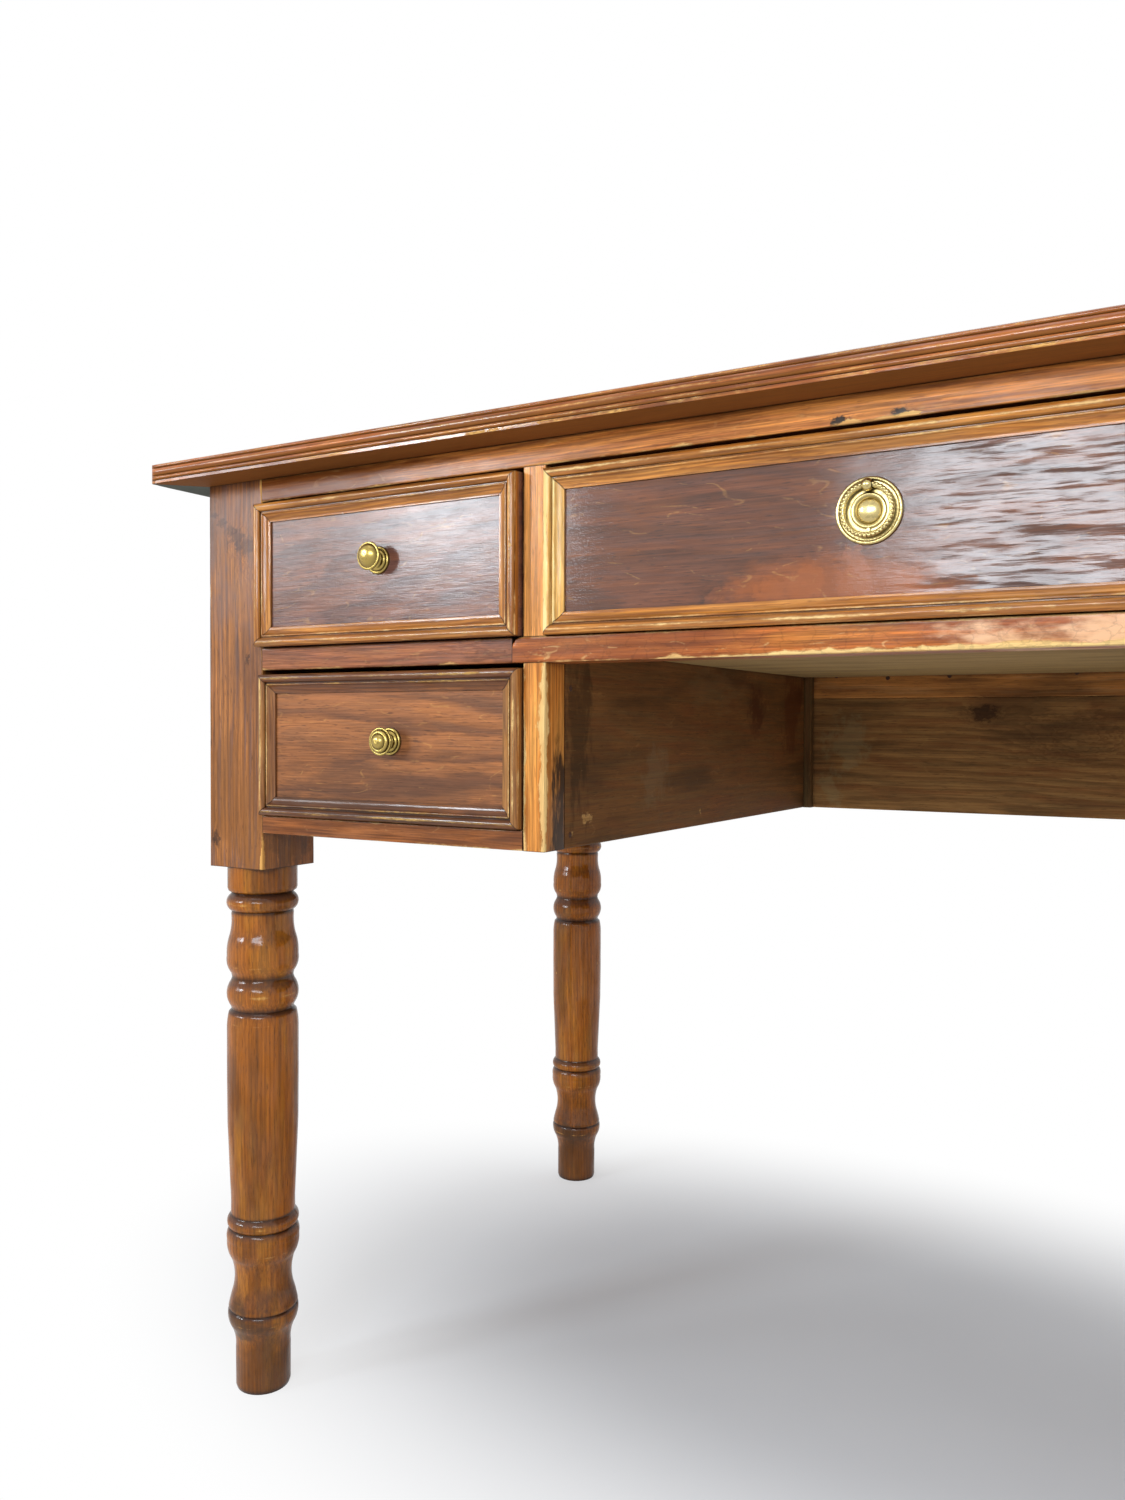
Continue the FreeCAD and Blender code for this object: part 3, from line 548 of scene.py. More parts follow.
        colour = f.add(Node.MIX, dash, colour, linear(self.stain), **BLEND)
        for knot in self.knots:
            ragged = f.flecks(max(2.5, knot.across / 8), max(3.5, knot.along / 8), 4.0, 0.65)
            core = f.add(Node.MATH, ragged, 0.6, self.near(f, knot), **PLUS_TIMES)
            core = f.add(Node.RANGE, core, 0.55, 1.05, 0.0, knot.depth, **SOFT)
            colour = f.add(Node.MIX, core, colour, linear(knot.tone), **BLEND)
        return colour

    def bareness(self, f: Finish) -> tuple[bpy.types.Node, bpy.types.Node]:
        """Where the finish has gone: worn edges, ragged at their rim, knocks and small nicks.

        Args:
            f: the material.

        Returns:
            Where the finish is thin, and where the wood is bare, from 0 to 1.
        """
        worn = f.add(Node.STORED, attribute_name=WORN).outputs["Fac"]
        for knock in self.knocks:
            worn = f.add(Node.MATH, self.near(f, knock), knock.amount, worn, **PLUS_TIMES)
        ragged = f.add(Node.MATH, f.flecks(*Figure.RAGGED_WEAR.value), 0.5, **MINUS)
        inside = f.add(Node.MATH, ragged, self.ragged_mm * 2, worn, **PLUS_TIMES)
        inside = f.add(Node.MATH, inside, WORN_FROM, **MINUS)
        thin = f.add(Node.RANGE, inside, -0.9, 0.5, **SOFT)
        gone = f.add(Node.RANGE, inside, 0.1, 0.5, **SOFT)
        spread = f.add(Node.VECTOR, f.place, [1 / size for size in self.nick_mm], **TIMES)
        cells = f.add(Node.CELLS, spread, 1.0)
        away = f.add(Node.MATH, ragged, 0.06, cells.outputs["Distance"], **PLUS_TIMES)
        spot = f.add(Node.RANGE, away, 0.02, 0.05, 0.8, 0.0, **SOFT)
        chance = f.add(Node.RED, cells.outputs["Color"]).outputs[0]
        chosen = f.add(Node.RANGE, chance, 1 - self.nick_share, 1.01 - self.nick_share, **SOFT)
        gone = f.add(Node.MATH, gone, f.add(Node.MATH, spot, chosen, **TIMES), **LARGER)
        if self.scratches:
            thin = f.add(Node.MATH, thin, self.scratched(f), **LARGER)
        return thin, gone

    def scratched(self, f: Finish) -> bpy.types.Node:
        """Fine pale lines that wander over the polish.

        Args:
            f: the material.

        Returns:
            Where the scratches are, from 0 to 1.
        """
        wander = f.add(Node.MATH, f.flecks(*Figure.SCRATCHES.value), 0.5, **MINUS)
        line = f.add(Node.RANGE, f.add(Node.MATH, wander, operation="ABSOLUTE"), 0.004, 0.02,
                     self.scratches, 0.0, **SOFT)
        some = f.add(Node.RANGE, f.flecks(*Figure.SCRATCHED_PLACES.value), 0.5, 0.62, **SOFT)
        return f.add(Node.MATH, line, some, **TIMES)

    def grimed_and_shaded(self, f: Finish, colour: object) -> bpy.types.Node:
        """Adds grime and painted shade in hollows, grime in joints and cracks, and a tint on upward
        faces.

        Args:
            f: the material.
            colour: the clean colour.

        Returns:
            The colour with its grime and painted shade.
        """
        # Hollows are darkened by their occlusion: grime, and painted shade
        open_air = f.add(Node.HOLLOW, None, self.crevice_mm * MM, samples=6).outputs["AO"]
        grime_and_shade = f.add(Node.RANGE, open_air, 0.2, self.open_air, self.crevice_grime_and_shade, 0.0, **SOFT)
        joint = f.add(Node.STORED, attribute_name=GRIME).outputs["Fac"]
        grime_and_shade = f.add(Node.MATH, grime_and_shade, f.add(Node.MATH, joint, 0.85, **TIMES), **LARGER)
        if self.crackle:
            spread = f.add(Node.VECTOR, f.place, [1 / size for size in self.crack_mm], **TIMES)
            stray = f.flecks(*Figure.CRACKLE.value).outputs["Color"]
            spread = f.add(Node.VECTOR, stray, (0.5,) * 3, spread, **PLUS_TIMES)
            cells = f.add(Node.CELLS, spread, 1.0, feature="DISTANCE_TO_EDGE")
            crack = f.add(Node.RANGE, cells, 0.01, 0.05, self.crackle, 0.0, **SOFT)
            grime_and_shade = f.add(Node.MATH, grime_and_shade, crack, **LARGER)
        # Faces that look up get a tint: partly what has gathered there, partly a painted reflection
        if self.dust_and_reflection:
            up = f.add(Node.SPLIT, f.add(Node.FACING).outputs["Normal"]).outputs[2]
            upward_tint = f.add(Node.RANGE, up, 0.0, 0.6, 0.0, self.dust_and_reflection, **SOFT)
            colour = f.add(Node.MIX, upward_tint, colour, linear(self.dust_and_reflection_tone), **BLEND)
        return f.add(Node.MIX, grime_and_shade, colour, linear(self.grime_and_shade), **BLEND)

    def relief(self, f: Finish, fibre: object, bare: object) -> bpy.types.Node:
        """Fibre, lost finish, sags and ripples in the polish.

        Args:
            f: the material.
            fibre: the fine fibre.
            bare: where the wood is bare.

        Returns:
            The surface's direction, from heights in millimetres.
        """
        height = f.add(Node.MATH, fibre, 0.05, f.add(Node.MATH, bare, -0.15, **TIMES), **PLUS_TIMES)
        for figure, high in ((Figure.SAGS, self.sag_mm), (Figure.PEEL, self.peel_mm)):
            height = f.add(Node.MATH, f.flecks(*figure.value), high, height, **PLUS_TIMES)
        if self.ripple_mm:
            along = f.add(Node.SPLIT, f.place).outputs[2]
            slant = f.add(Node.JOIN, 0.0, f.add(Node.MATH, along, 0.03, **TIMES), 0.0)
            slant = f.add(Node.VECTOR, f.place, slant, **PLUS)
            grows = f.add(Node.RANGE, along, -5.0, 70.0, 0.03, self.ripple_mm, **SOFT)
            waves = f.add(Node.MATH, f.flecks(*Figure.RIPPLES.value, slant), grows, **TIMES)
            height = f.add(Node.MATH, height, waves, **PLUS)
        return f.add(Node.BUMP, named={"Height": height, "Distance": MM})


@dataclass(frozen=True)
class Brass:
    """Cast and turned brass, rubbed bright by hands.

    It mirrors the windows on its crests, and is dull olive in its hollows. Its sides are darker,
    partly tarnish where hands don't reach and partly a painted reflection of dark surroundings.
    The real specks of tarnish are drawn about 3 mm wide, so that they show.

    Args:
        name: the material's name.
        bright: colour where it is rubbed.
        tarnish: colour where it isn't.
        roughness: where it is rubbed.
        lacquer: weight of what is left of its lacquer.
        hollow_mm: how near a surface must be to shelter the tarnish.
        side_tarnish_and_reflection: strength of the tarnish and painted dark reflection on what doesn't
            face the sitter, from 0 to 1.
    """

    name: str = "hand_polished_brass"
    bright: str = "#b59c54"
    tarnish: str = "#3c300f"
    roughness: float = 0.27
    lacquer: float = 0.3
    hollow_mm: float = 3.0
    side_tarnish_and_reflection: float = 0.0

    def build(self) -> bpy.types.Material:
        """Makes the material.

        Returns:
            The material.
        """
        f = Finish(self.name)
        cloud = f.flecks(3.5, 3.5, 4.0, 0.62)
        open_air = f.add(Node.HOLLOW, None, self.hollow_mm * MM, samples=8).outputs["AO"]
        hollow = f.add(Node.RANGE, open_air, 0.42, 0.96, 1.0, 0.0, **SOFT)
        spotted = f.add(Node.RANGE, cloud, 0.5, 0.72, 0.0, 0.45, **SOFT)
        dull = f.add(Node.MATH, hollow, spotted, **LARGER)
        # Darkens what doesn't face the sitter: tarnish, and a painted reflection of dark surroundings
        if self.side_tarnish_and_reflection:
            normal = f.add(Node.FACING).outputs["Normal"]
            facing = f.add(Node.VECTOR, normal, (0.0, -1.0, 0.0), operation="DOT_PRODUCT")
            sides = f.add(Node.RANGE, facing, 0.45, 0.95, self.side_tarnish_and_reflection, 0.0, **SOFT)
            dull = f.add(Node.MATH, dull, sides, **LARGER)
        height = f.add(Node.MATH, f.flecks(0.5, 0.5), 0.02, f.add(Node.MATH, cloud, 0.1, **TIMES),
                       **PLUS_TIMES)
        f.wire(Base_Color=f.add(Node.MIX, dull, linear(self.bright), linear(self.tarnish), **BLEND),
               Metallic=1.0, Roughness=f.add(Node.MATH, dull, 0.22, self.roughness, **PLUS_TIMES),
               Coat_Weight=self.lacquer, Coat_Roughness=0.12,
               Normal=f.add(Node.BUMP, named={"Height": height, "Distance": MM}))
        return f.material


@dataclass(frozen=True)
class Iron:
    """Cut iron nails, dark with old rust, which takes all gloss from them in patches.

    Args:
        name: the material's name.
        clean: colour of the iron.
        rust: colour of its rust.
    """

    name: str = "rusty_cut_iron"
    clean: str = "#3c332c"
    rust: str = "#5a3520"

    def build(self) -> bpy.types.Material:
        """Makes the material.

        Returns:
            The material.
        """
        f = Finish(self.name)
        cloud = f.flecks(0.9, 0.9, 3.0, 0.65)
        rusty = f.add(Node.RANGE, cloud, 0.35, 0.6, **SOFT)
        height = f.add(Node.MATH, cloud, 0.12, **TIMES)
        f.wire(Base_Color=f.add(Node.MIX, rusty, linear(self.clean), linear(self.rust), **BLEND),
               Metallic=0.5, Roughness=f.add(Node.RANGE, rusty, 0.0, 1.0, 0.5, 0.85),
               Normal=f.add(Node.BUMP, named={"Height": height, "Distance": MM}))
        return f.material


@dataclass
class OutlinePoint:
    """A point of a cross-section, and how exposed it is.

    Args:
        across: its first coordinate.
        up: its second.
        edge: how exposed it is to knocks, from 0 to 1, or below 0 for a groove.
    """

    across: float
    up: float
    edge: float = 0.0


@dataclass
class Wear:
    """What hands, cloths and chairs have done to the edges of one piece of wood.

    Args:
        seed: makes each piece its own.
        band: width in millimetres of the strip that is worn off an exposed edge. Below 0, the
            edge is worn only where the width swings above 0.
        swing: how much that width comes and goes, in millimetres.
        chips: chips in each metre of edge.
        chip: reach of the largest chip in millimetres.
        swell_shares: shares of the band, each after its share of the length.
        cut_share: how deep the wood is gone, as a share of the reach.
        slow: how long a slow change of the width is, and how many fit in a metre across.
        quick: the same of a quick one.
    """

    seed: str
    band: float = -0.5
    swing: float = 1.3
    chips: float = 5.0
    chip: float = 2.2
    swell_shares: tuple[tuple[float, float], ...] = ((0.0, 1.0), (1.0, 1.0))
    cut_share: float = 0.22
    slow: tuple[float, float] = (34.0 * MM, 70.0)
    quick: tuple[float, float] = (6.0 * MM, 160.0)

    def lay(self, length: float, corners: list[OutlinePoint]) -> list[list]:
        """Scatters the chips.

        Args:
            length: length of the piece.
            corners: the exposed points of its cross-section.

        Returns:
            For each corner, its chips' places, half lengths and reaches.
        """
        draw = random.Random(self.seed)
        self.shift = Vector((draw.uniform(-50, 50) for _ in range(3)))
        marks = []
        for corner in corners:
            own = []
            for _ in range(round(length * self.chips * corner.edge)):
                size = draw.uniform(0.25, 1.0) ** 2
                own.append((draw.uniform(0, length), (1.5 + 9 * size) * MM, self.chip * size))
            marks.append(own)
        return marks

    def reach(self, along: float, length: float, corner: OutlinePoint, marks: list) -> float:
        """How far the wear reaches from a corner, in millimetres, or below 0 for none.

        Args:
            along: distance from the piece's start.
            length: length of the piece.
            corner: the exposed point.
            marks: the chips' places, half lengths and reaches.

        Returns:
            The reach.
        """
        slow, quick = (Vector((along / size, corner.across * many, corner.up * many))
                       for size, many in (self.slow, self.quick))
        swollen = float(np.interp(along / length, *zip(*self.swell_shares)))
        reach = self.band * (swollen if self.band > 0 else 1.0)
        reach += self.swing * (noise.noise(slow + self.shift) * 1.6
                               + noise.noise(quick - self.shift) * 0.6)
        for start, half, size in marks:
            near = abs(along - start) / half
            if near < 1:
                reach = max(reach, size * (1 - near))
        return reach * corner.edge if reach > 0 else reach


def show(name: str, data: bpy.types.ID) -> bpy.types.Object:
    """Puts a mesh, a lamp or a camera in the scene.

    Args:
        name: name of its object.
        data: what is shown.

    Returns:
        The object.
    """
    shown = bpy.data.objects.new(name, data)
    bpy.context.scene.collection.objects.link(shown)
    return shown


def settle(rings: np.ndarray, turned: Matrix) -> np.ndarray:
    """Puts rings of points in their place.

    Args:
        rings: the points, by ring, by point and by coordinate.
        turned: puts them in the desk's axes.

    Returns:
        The points, ring by ring.
    """
    spots = np.concatenate((rings, np.ones((*rings.shape[:2], 1))), axis=2).reshape(-1, 4)
    return (spots @ np.array(turned).T)[:, :3]


def mark(piece: bpy.types.Object, numbers: dict[str, np.ndarray]) -> None:
    """Stores numbers at a piece's points.

    Args:
        piece: the piece.
        numbers: for each attribute's name, a number for each point.
    """
    for name, values in numbers.items():
        layer = piece.data.attributes.new(name, "FLOAT", "POINT")
        layer.data.foreach_set("value", values.ravel())


def sweep(name: str, outline: list[OutlinePoint], start: Callable[[OutlinePoint], float],
          end: Callable[[OutlinePoint], float], turned: Matrix, wear: Wear,
          step: float = 3.0 * MM) -> bpy.types.Object:
    """Draws a closed cross-section along a straight line, worn along its edges.

    Args:
        name: name of the piece.
        outline: the cross-section, anticlockwise.
        start: gives where the piece starts for a point of the outline.
        end: gives where it ends.
        turned: turns (along, across, up) into the desk's axes.
        wear: what time has done to it.
        step: distance from one ring of points to the next.

    Returns:
        The piece. Its attribute WORN says in millimetres how far inside the worn strip a point
        lies, counted from WORN_FROM, and GRIME is 1 at its ends.
    """
    firsts = np.array([start(p) for p in outline])
    lasts = np.array([end(p) for p in outline])
    length = float((lasts - firsts).max())
    joint = END_GRIME / length
    shares = np.linspace(joint, 1 - joint, max(2, math.ceil(length / step)))
    shares = np.concatenate(([0.0], shares, [1.0]))[:, None]
    along = firsts + (lasts - firsts) * shares
    flat = np.array([(p.across, p.up) for p in outline])
    exposed = [p for p in outline if p.edge]
    marks = wear.lay(length, exposed)
    inside = np.full(along.shape, -WORN_FROM)
    if exposed:
        corners = np.array([(p.across, p.up) for p in exposed])
        gaps = np.linalg.norm(flat[:, None] - corners[None], axis=2) / MM
        reach = np.array([[wear.reach(share * length, length, c, m) for c, m in zip(exposed, marks)]
                          for share in shares[:, 0]])
        inside = (reach[:, None, :] - gaps[None]).max(axis=2)
    depth = np.clip(inside, 0, DEEPEST_REACH_MM) * wear.cut_share * MM
    out = np.roll(flat, -1, axis=0) - np.roll(flat, 1, axis=0)
    out = np.stack((out[:, 1], -out[:, 0]), axis=1)
    out /= np.maximum(np.linalg.norm(out, axis=1, keepdims=True), 1e-9)
    rings = np.dstack((along, flat[None] - out[None] * depth[..., None]))
    piece = skin(name, settle(rings, turned), len(outline))
    grime = np.zeros(along.shape)
    grime[[0, -1]] = 1.0
    mark(piece, {WORN: np.clip(inside + WORN_FROM, 0, WORN_MOST), GRIME: grime})
    return piece


def skin(name: str, spots: np.ndarray, count: int) -> bpy.types.Object:
    """Joins rings of points into a closed mesh with smooth faces and sharp corners.

    Args:
        name: name of the piece.
        spots: the points, ring by ring.
        count: how many points each ring has.

    Returns:
        The piece.
    """
    faces = []
    last = len(spots) - count
    for ring in range(0, last, count):
        for i in range(count):
            a, b = ring + i, ring + (i + 1) % count
            faces.append((a, b, b + count, a + count))
    caps = [tuple(range(count)), tuple(range(last, last + count))]
    mesh = bpy.data.meshes.new(name)
    mesh.from_pydata(spots.tolist(), [], faces + caps)
    built = bmesh.new()
    built.from_mesh(mesh)
    built.faces.ensure_lookup_table()
    bmesh.ops.triangulate(built, faces=built.faces[-2:])
    bmesh.ops.recalc_face_normals(built, faces=built.faces[:])
    built.to_mesh(mesh)
    built.free()
    mesh.shade_smooth()
    mesh.set_sharp_from_angle(angle=SHARP)
    return show(name, mesh)


def arc(a: tuple[float, float], middle: tuple[float, float], b: tuple[float, float],
        parts: int) -> list[tuple[float, float]]:
    """Points of the circular arc through three points.

    Args:
        a: its start.
        middle: a point on it.
        b: its end.
        parts: how many pieces it is cut into.

    Returns:
        The points, without the start.
    """
    (ax, ay), (mx, my), (bx, by) = a, middle, b
    turn = 2 * (ax * (my - by) + mx * (by - ay) + bx * (ay - my))
    sa, sm, sb = ax * ax + ay * ay, mx * mx + my * my, bx * bx + by * by
    cx = (sa * (my - by) + sm * (by - ay) + sb * (ay - my)) / turn
    cy = (sa * (bx - mx) + sm * (ax - bx) + sb * (mx - ax)) / turn
    first = math.atan2(ay - cy, ax - cx)
    span = math.atan2(by - cy, bx - cx) - first
    while span * turn < 0:
        span += math.copysign(math.tau, turn)
    while abs(span) > math.tau:
        span -= math.copysign(math.tau, span)
    radius = math.hypot(ax - cx, ay - cy)
    angles = [first + span * i / parts for i in range(1, parts + 1)]
    return [(cx + radius * math.cos(t), cy + radius * math.sin(t)) for t in angles]


def walk(step_shares: tuple, width: float, height: float, parts: int = 8) -> list[OutlinePoint]:
    """Follows an outline that is given in shares of a width and a height.

    Args:
        step_shares: the steps. Each is (share across, share up, exposure), or an arc's middle
            and then such a step, whose exposure is that of the arc's crest.
        width: what the shares across are of.
        height: what the shares up are of.
        parts: how many pieces an arc is cut into.

    Returns:
        The points.
    """
    points: list[OutlinePoint] = []
    for step in step_shares:
        if isinstance(step[0], tuple):
            here = (points[-1].across, points[-1].up)
            middle, end = ((x * width, y * height) for x, y, *_ in step)
            points += [OutlinePoint(x, y) for x, y in arc(here, middle, end, parts)]
            points[-1 - parts // 2].edge = step[1][2]
        else:
            points.append(OutlinePoint(step[0] * width, step[1] * height, step[2]))
    return points


# Wear of turned work: how long a chip is, how far chips reach on a crest, how far short of bare
# an average crest is, how fast wear fades away from it, and how wide the grime of a groove is
CREST_CHIP = 7.0 * MM
CREST_CHIPPED_MM = 2.6
CREST_SOUND_MM = 0.9
CREST_FADE = 0.5
GROOVE_GRIME_MM = 1.8


def lathe(name: str, outline: list[OutlinePoint], turned: Matrix, sides: int,
          step: float) -> bpy.types.Object:
    """Turns an outline of (radius, height) about its upright axis.

    Args:
        name: name of the piece.
        outline: the outline, from its low end to its high end.
        turned: puts the piece in its place.
        sides: how many points go round it.
        step: the longest distance between two rings of points.

    Returns:
        The piece. Its attribute WORN is high where a crest is chipped, and GRIME is 1 in a groove.
    """
    fine = [outline[0]]
    for last, point in zip(outline, outline[1:]):
        run = math.hypot(point.across - last.across, point.up - last.up)
        parts = max(1, math.ceil(run / step))
        for i in range(1, parts + 1):
            fine.append(OutlinePoint(last.across + (point.across - last.across) * i / parts,
                                     last.up + (point.up - last.up) * i / parts,
                                     point.edge if i == parts else 0.0))
    flat = np.array([(p.across, p.up) for p in fine])
    angles = np.arange(sides) * math.tau / sides
    rings = np.dstack((flat[:, :1] * np.cos(angles), flat[:, :1] * np.sin(angles),
                       np.repeat(flat[:, 1:], sides, axis=1)))
    spots = settle(rings, turned)
    piece = skin(name, spots, sides)
    near = {}
    for key, kept in (("crest", [p for p in fine if p.edge > 0]),
                      ("groove", [p for p in fine if p.edge < 0])):
        gaps = [np.hypot(flat[:, 0] - p.across, flat[:, 1] - p.up) / MM / abs(p.edge) for p in kept]
        near[key] = np.repeat(np.min(gaps, axis=0), sides) if gaps else np.full(len(spots), 99.0)
    chips = np.array([noise.noise(Vector(spot) / CREST_CHIP) for spot in spots])
    worn = WORN_FROM - CREST_SOUND_MM - near["crest"] * CREST_FADE + chips * CREST_CHIPPED_MM
    grime = np.exp(-((near["groove"] / GROOVE_GRIME_MM) ** 2))
    mark(piece, {WORN: np.clip(worn, 0, WORN_MOST), GRIME: grime})
    return piece


@dataclass(frozen=True)
class Moulding:
    """The outline of a moulded strip.

    Args:
        width: from its outer edge to its inner edge.
        height: its thickness.
        step_shares: the steps of its moulded face, as walk takes them.
        least: two points nearer than this are one.
    """

    width: float
    height: float
    step_shares: tuple
    least: float = 0.01 * MM

    def outline(self) -> list[OutlinePoint]:
        """Goes from the outer edge, over the moulded face, to the inner edge and back.

        Returns:
            The closed outline.
        """
        points = [OutlinePoint(self.step_shares[0][0] * self.width, 0.0)]
        points += walk(self.step_shares, self.width, self.height)
        points.append(OutlinePoint(self.width, points[-1].up))
        points.append(OutlinePoint(self.width, 0.0))
        kept = [points[0]]
        for point in points[1:]:
            if math.hypot(point.across - kept[-1].across, point.up - kept[-1].up) > self.least:
                kept.append(point)
        return kept[::-1]


REEDED_EDGE = Moulding(34 * MM, 16 * MM, (
    (0.035, 0.02, 0.9),
    (0.035, 0.13, 0.4),
    (0.055, 0.155, 0.0),
    ((0.012, 0.265), (0.055, 0.375, 0.3)),
    ((0.0, 0.575), (0.06, 0.775, 0.25)),
    ((0.035, 0.87), (0.08, 0.96, 0.35)),
    (0.12, 1.0, 0.0),
))
DRAWER_MOULDING = Moulding(15 * MM, 7 * MM, (
    (0.0, 0.62, 0.8),
    ((0.215, 1.0), (0.43, 0.62, 0.6)),
    (0.43, 0.5, 0.0),
    (0.49, 0.5, 0.0),
    ((0.545, 0.66), (0.6, 0.54, 0.4)),
    ((0.74, 0.33), (0.94, 0.22, 0.0)),
    (1.0, 0.22, 0.0),
))


# The turned leg from the floor up, in shares of the post's half width and of the turned height.
# It is the solid's own outline, with the cuts of the turner's chisel sharpened.
LEG_STEP_SHARES = (
    (0.72, 0.0, 0.6),
    (0.75, 0.006, 0.0),
    (0.755, 0.075, 0.0),
    ((0.775, 0.1), (0.86, 0.118, 0.0)),
    ((0.955, 0.134), (0.962, 0.149, 0.5)),
    (0.92, 0.153, -0.7),
    (0.95, 0.157, 0.0),
    ((0.9, 0.172), (0.835, 0.188, 0.0)),
    ((0.785, 0.222), (0.87, 0.25, 0.0)),
    ((0.97, 0.266), (0.99, 0.286, 0.5)),
    ((0.985, 0.3), (0.94, 0.307, 0.0)),
    (0.915, 0.309, -0.8),
    ((0.985, 0.32), (0.925, 0.331, 0.6)),
    (0.88, 0.335, -0.7),
    (0.878, 0.36, 0.0),
    (0.97, 0.51, 0.0),
    (0.98, 0.6, 0.0),
    (0.98, 0.685, 0.0),
    ((0.965, 0.707), (0.93, 0.721, 0.5)),
    (0.845, 0.727, -1.6),
    (0.87, 0.733, 0.0),
    ((0.985, 0.757), (0.87, 0.781, 0.8)),
    (0.835, 0.788, -1.5),
    (0.86, 0.796, 0.0),
    ((0.945, 0.806), (0.98, 0.828, 0.7)),
    ((0.965, 0.85), (0.9, 0.868, 0.0)),
    ((0.85, 0.89), (0.855, 0.908, 0.0)),
    (0.84, 0.914, -1.2),
    ((0.985, 0.93), (0.865, 0.946, 0.8)),
    (0.84, 0.949, -1.2),
    (0.93, 0.953, 0.5),
    (0.955, 0.958, 0.0),
    (0.955, 1.0, 0.0),
)
# The knob from the drawer's face out, in shares of its half width and of its reach
KNOB_STEP_SHARES = (
    (1.0, 0.0, 0.0),
    (1.0, 0.05, 0.0),
    ((0.94, 0.12), (0.82, 0.13, 0.0)),
    (0.78, 0.1, 0.0),
    ((0.68, 0.17), (0.56, 0.2, 0.0)),
    ((0.4, 0.3), (0.42, 0.46, 0.0)),
    ((0.62, 0.58), (0.95, 0.64, 0.0)),
    ((1.0, 0.685), (0.95, 0.73, 0.0)),
    (0.87, 0.73, 0.0),
)
DOMED_CAP_SHARES = (((0.56, 0.93), (0.02, 1.0, 0.0)),)
STEPPED_CAP_SHARES = (
    (0.82, 0.715, 0.0),
    ((0.74, 0.83), (0.6, 0.85, 0.0)),
    (0.56, 0.83, 0.0),
    ((0.36, 0.965), (0.02, 1.0, 0.0)),
)


@dataclass
class Board:
    """A squared piece of wood between two corners, with rounded and worn edges.

    Args:
        name: name of the piece.
        low: its low corner.
        high: its high corner.
        along: the direction that it runs in.
        exposure: how exposed its four long corners are, anticlockwise from the low one.
        wear: what time has done to it.
        rounding: radius of the corners.
        step: distance from one ring of points to the next.
        beside: how far beside each corner the outline has more points, for its wear.
        corner_parts: how many pieces a corner's arc is cut into.
    """

    name: str
    low: Vector
    high: Vector
    along: Axis
    exposure: tuple[float, float, float, float]
    wear: Wear
    rounding: float = 0.8 * MM
    step: float = 3.0 * MM
    beside: tuple[float, ...] = (1.2 * MM, 2.6 * MM, 5.0 * MM)
    corner_parts: int = 4

    def build(self) -> bpy.types.Object:
        """Makes the piece.

        Returns:
            The piece, without a finish.
        """
        first, last = self.low[self.along.value], self.high[self.along.value]
        return sweep(self.name, self.outline(), lambda p: first, lambda p: last, self.along.turn,
                     self.wear, self.step)

    def outline(self) -> list[OutlinePoint]:
        """Draws the cross-section, with closely spaced points beside each corner.

        Returns:
            The outline, anticlockwise.
        """
        u, v = self.along.across
        a, b = self.low, self.high
        box = [Vector(c) for c in ((a[u], a[v]), (b[u], a[v]), (b[u], b[v]), (a[u], b[v]))]
        points = []
        for k, corner in enumerate(box):
            enter, leave = box[k - 1] - corner, box[(k + 1) % 4] - corner
            near_in = [d for d in self.beside if self.rounding + d < enter.length / 2]
            near_out = [d for d in self.beside if self.rounding + d < leave.length / 2]
            enter.normalize()
            leave.normalize()
            centre = corner + (enter + leave) * self.rounding
            places = [corner + enter * (self.rounding + d) for d in reversed(near_in)]
            for i in range(self.corner_parts + 1):
                angle = math.pi / 2 * i / self.corner_parts
                turn = leave * math.cos(angle) + enter * math.sin(angle)
                places.append(centre - turn * self.rounding)
            crest = len(points) + len(places) - 1 - self.corner_parts // 2
            places += [corner + leave * (self.rounding + d) for d in near_out]
            points += [OutlinePoint(q.x, q.y) for q in places]
            points[crest].edge = self.exposure[k]
        return points


def dress(piece: bpy.types.Object, material: bpy.types.Material | None, body: str, slot: str,
          *nodes: str) -> None:
    """Gives a piece its finish and body, and hides the CAD nodes that it stands for.

    Args:
        piece: the piece.
        material: its finish, or None where it has one.
        body: the CAD body that it moves with.
        slot: the record's material slot, or "" for none. It is not used.
        *nodes: the CAD nodes that it replaces.
    """
    if material:
        piece.data.materials.append(material)
    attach(piece, body)
    if nodes:
        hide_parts(*nodes)
    log.info("%s: %d faces", piece.name, len(piece.data.polygons))


def repaint(node: str, material: bpy.types.Material) -> None:
    """Gives a CAD node a finish."""
    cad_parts[node].material_slots[0].material = material
    log.info("%s: refinished", node)


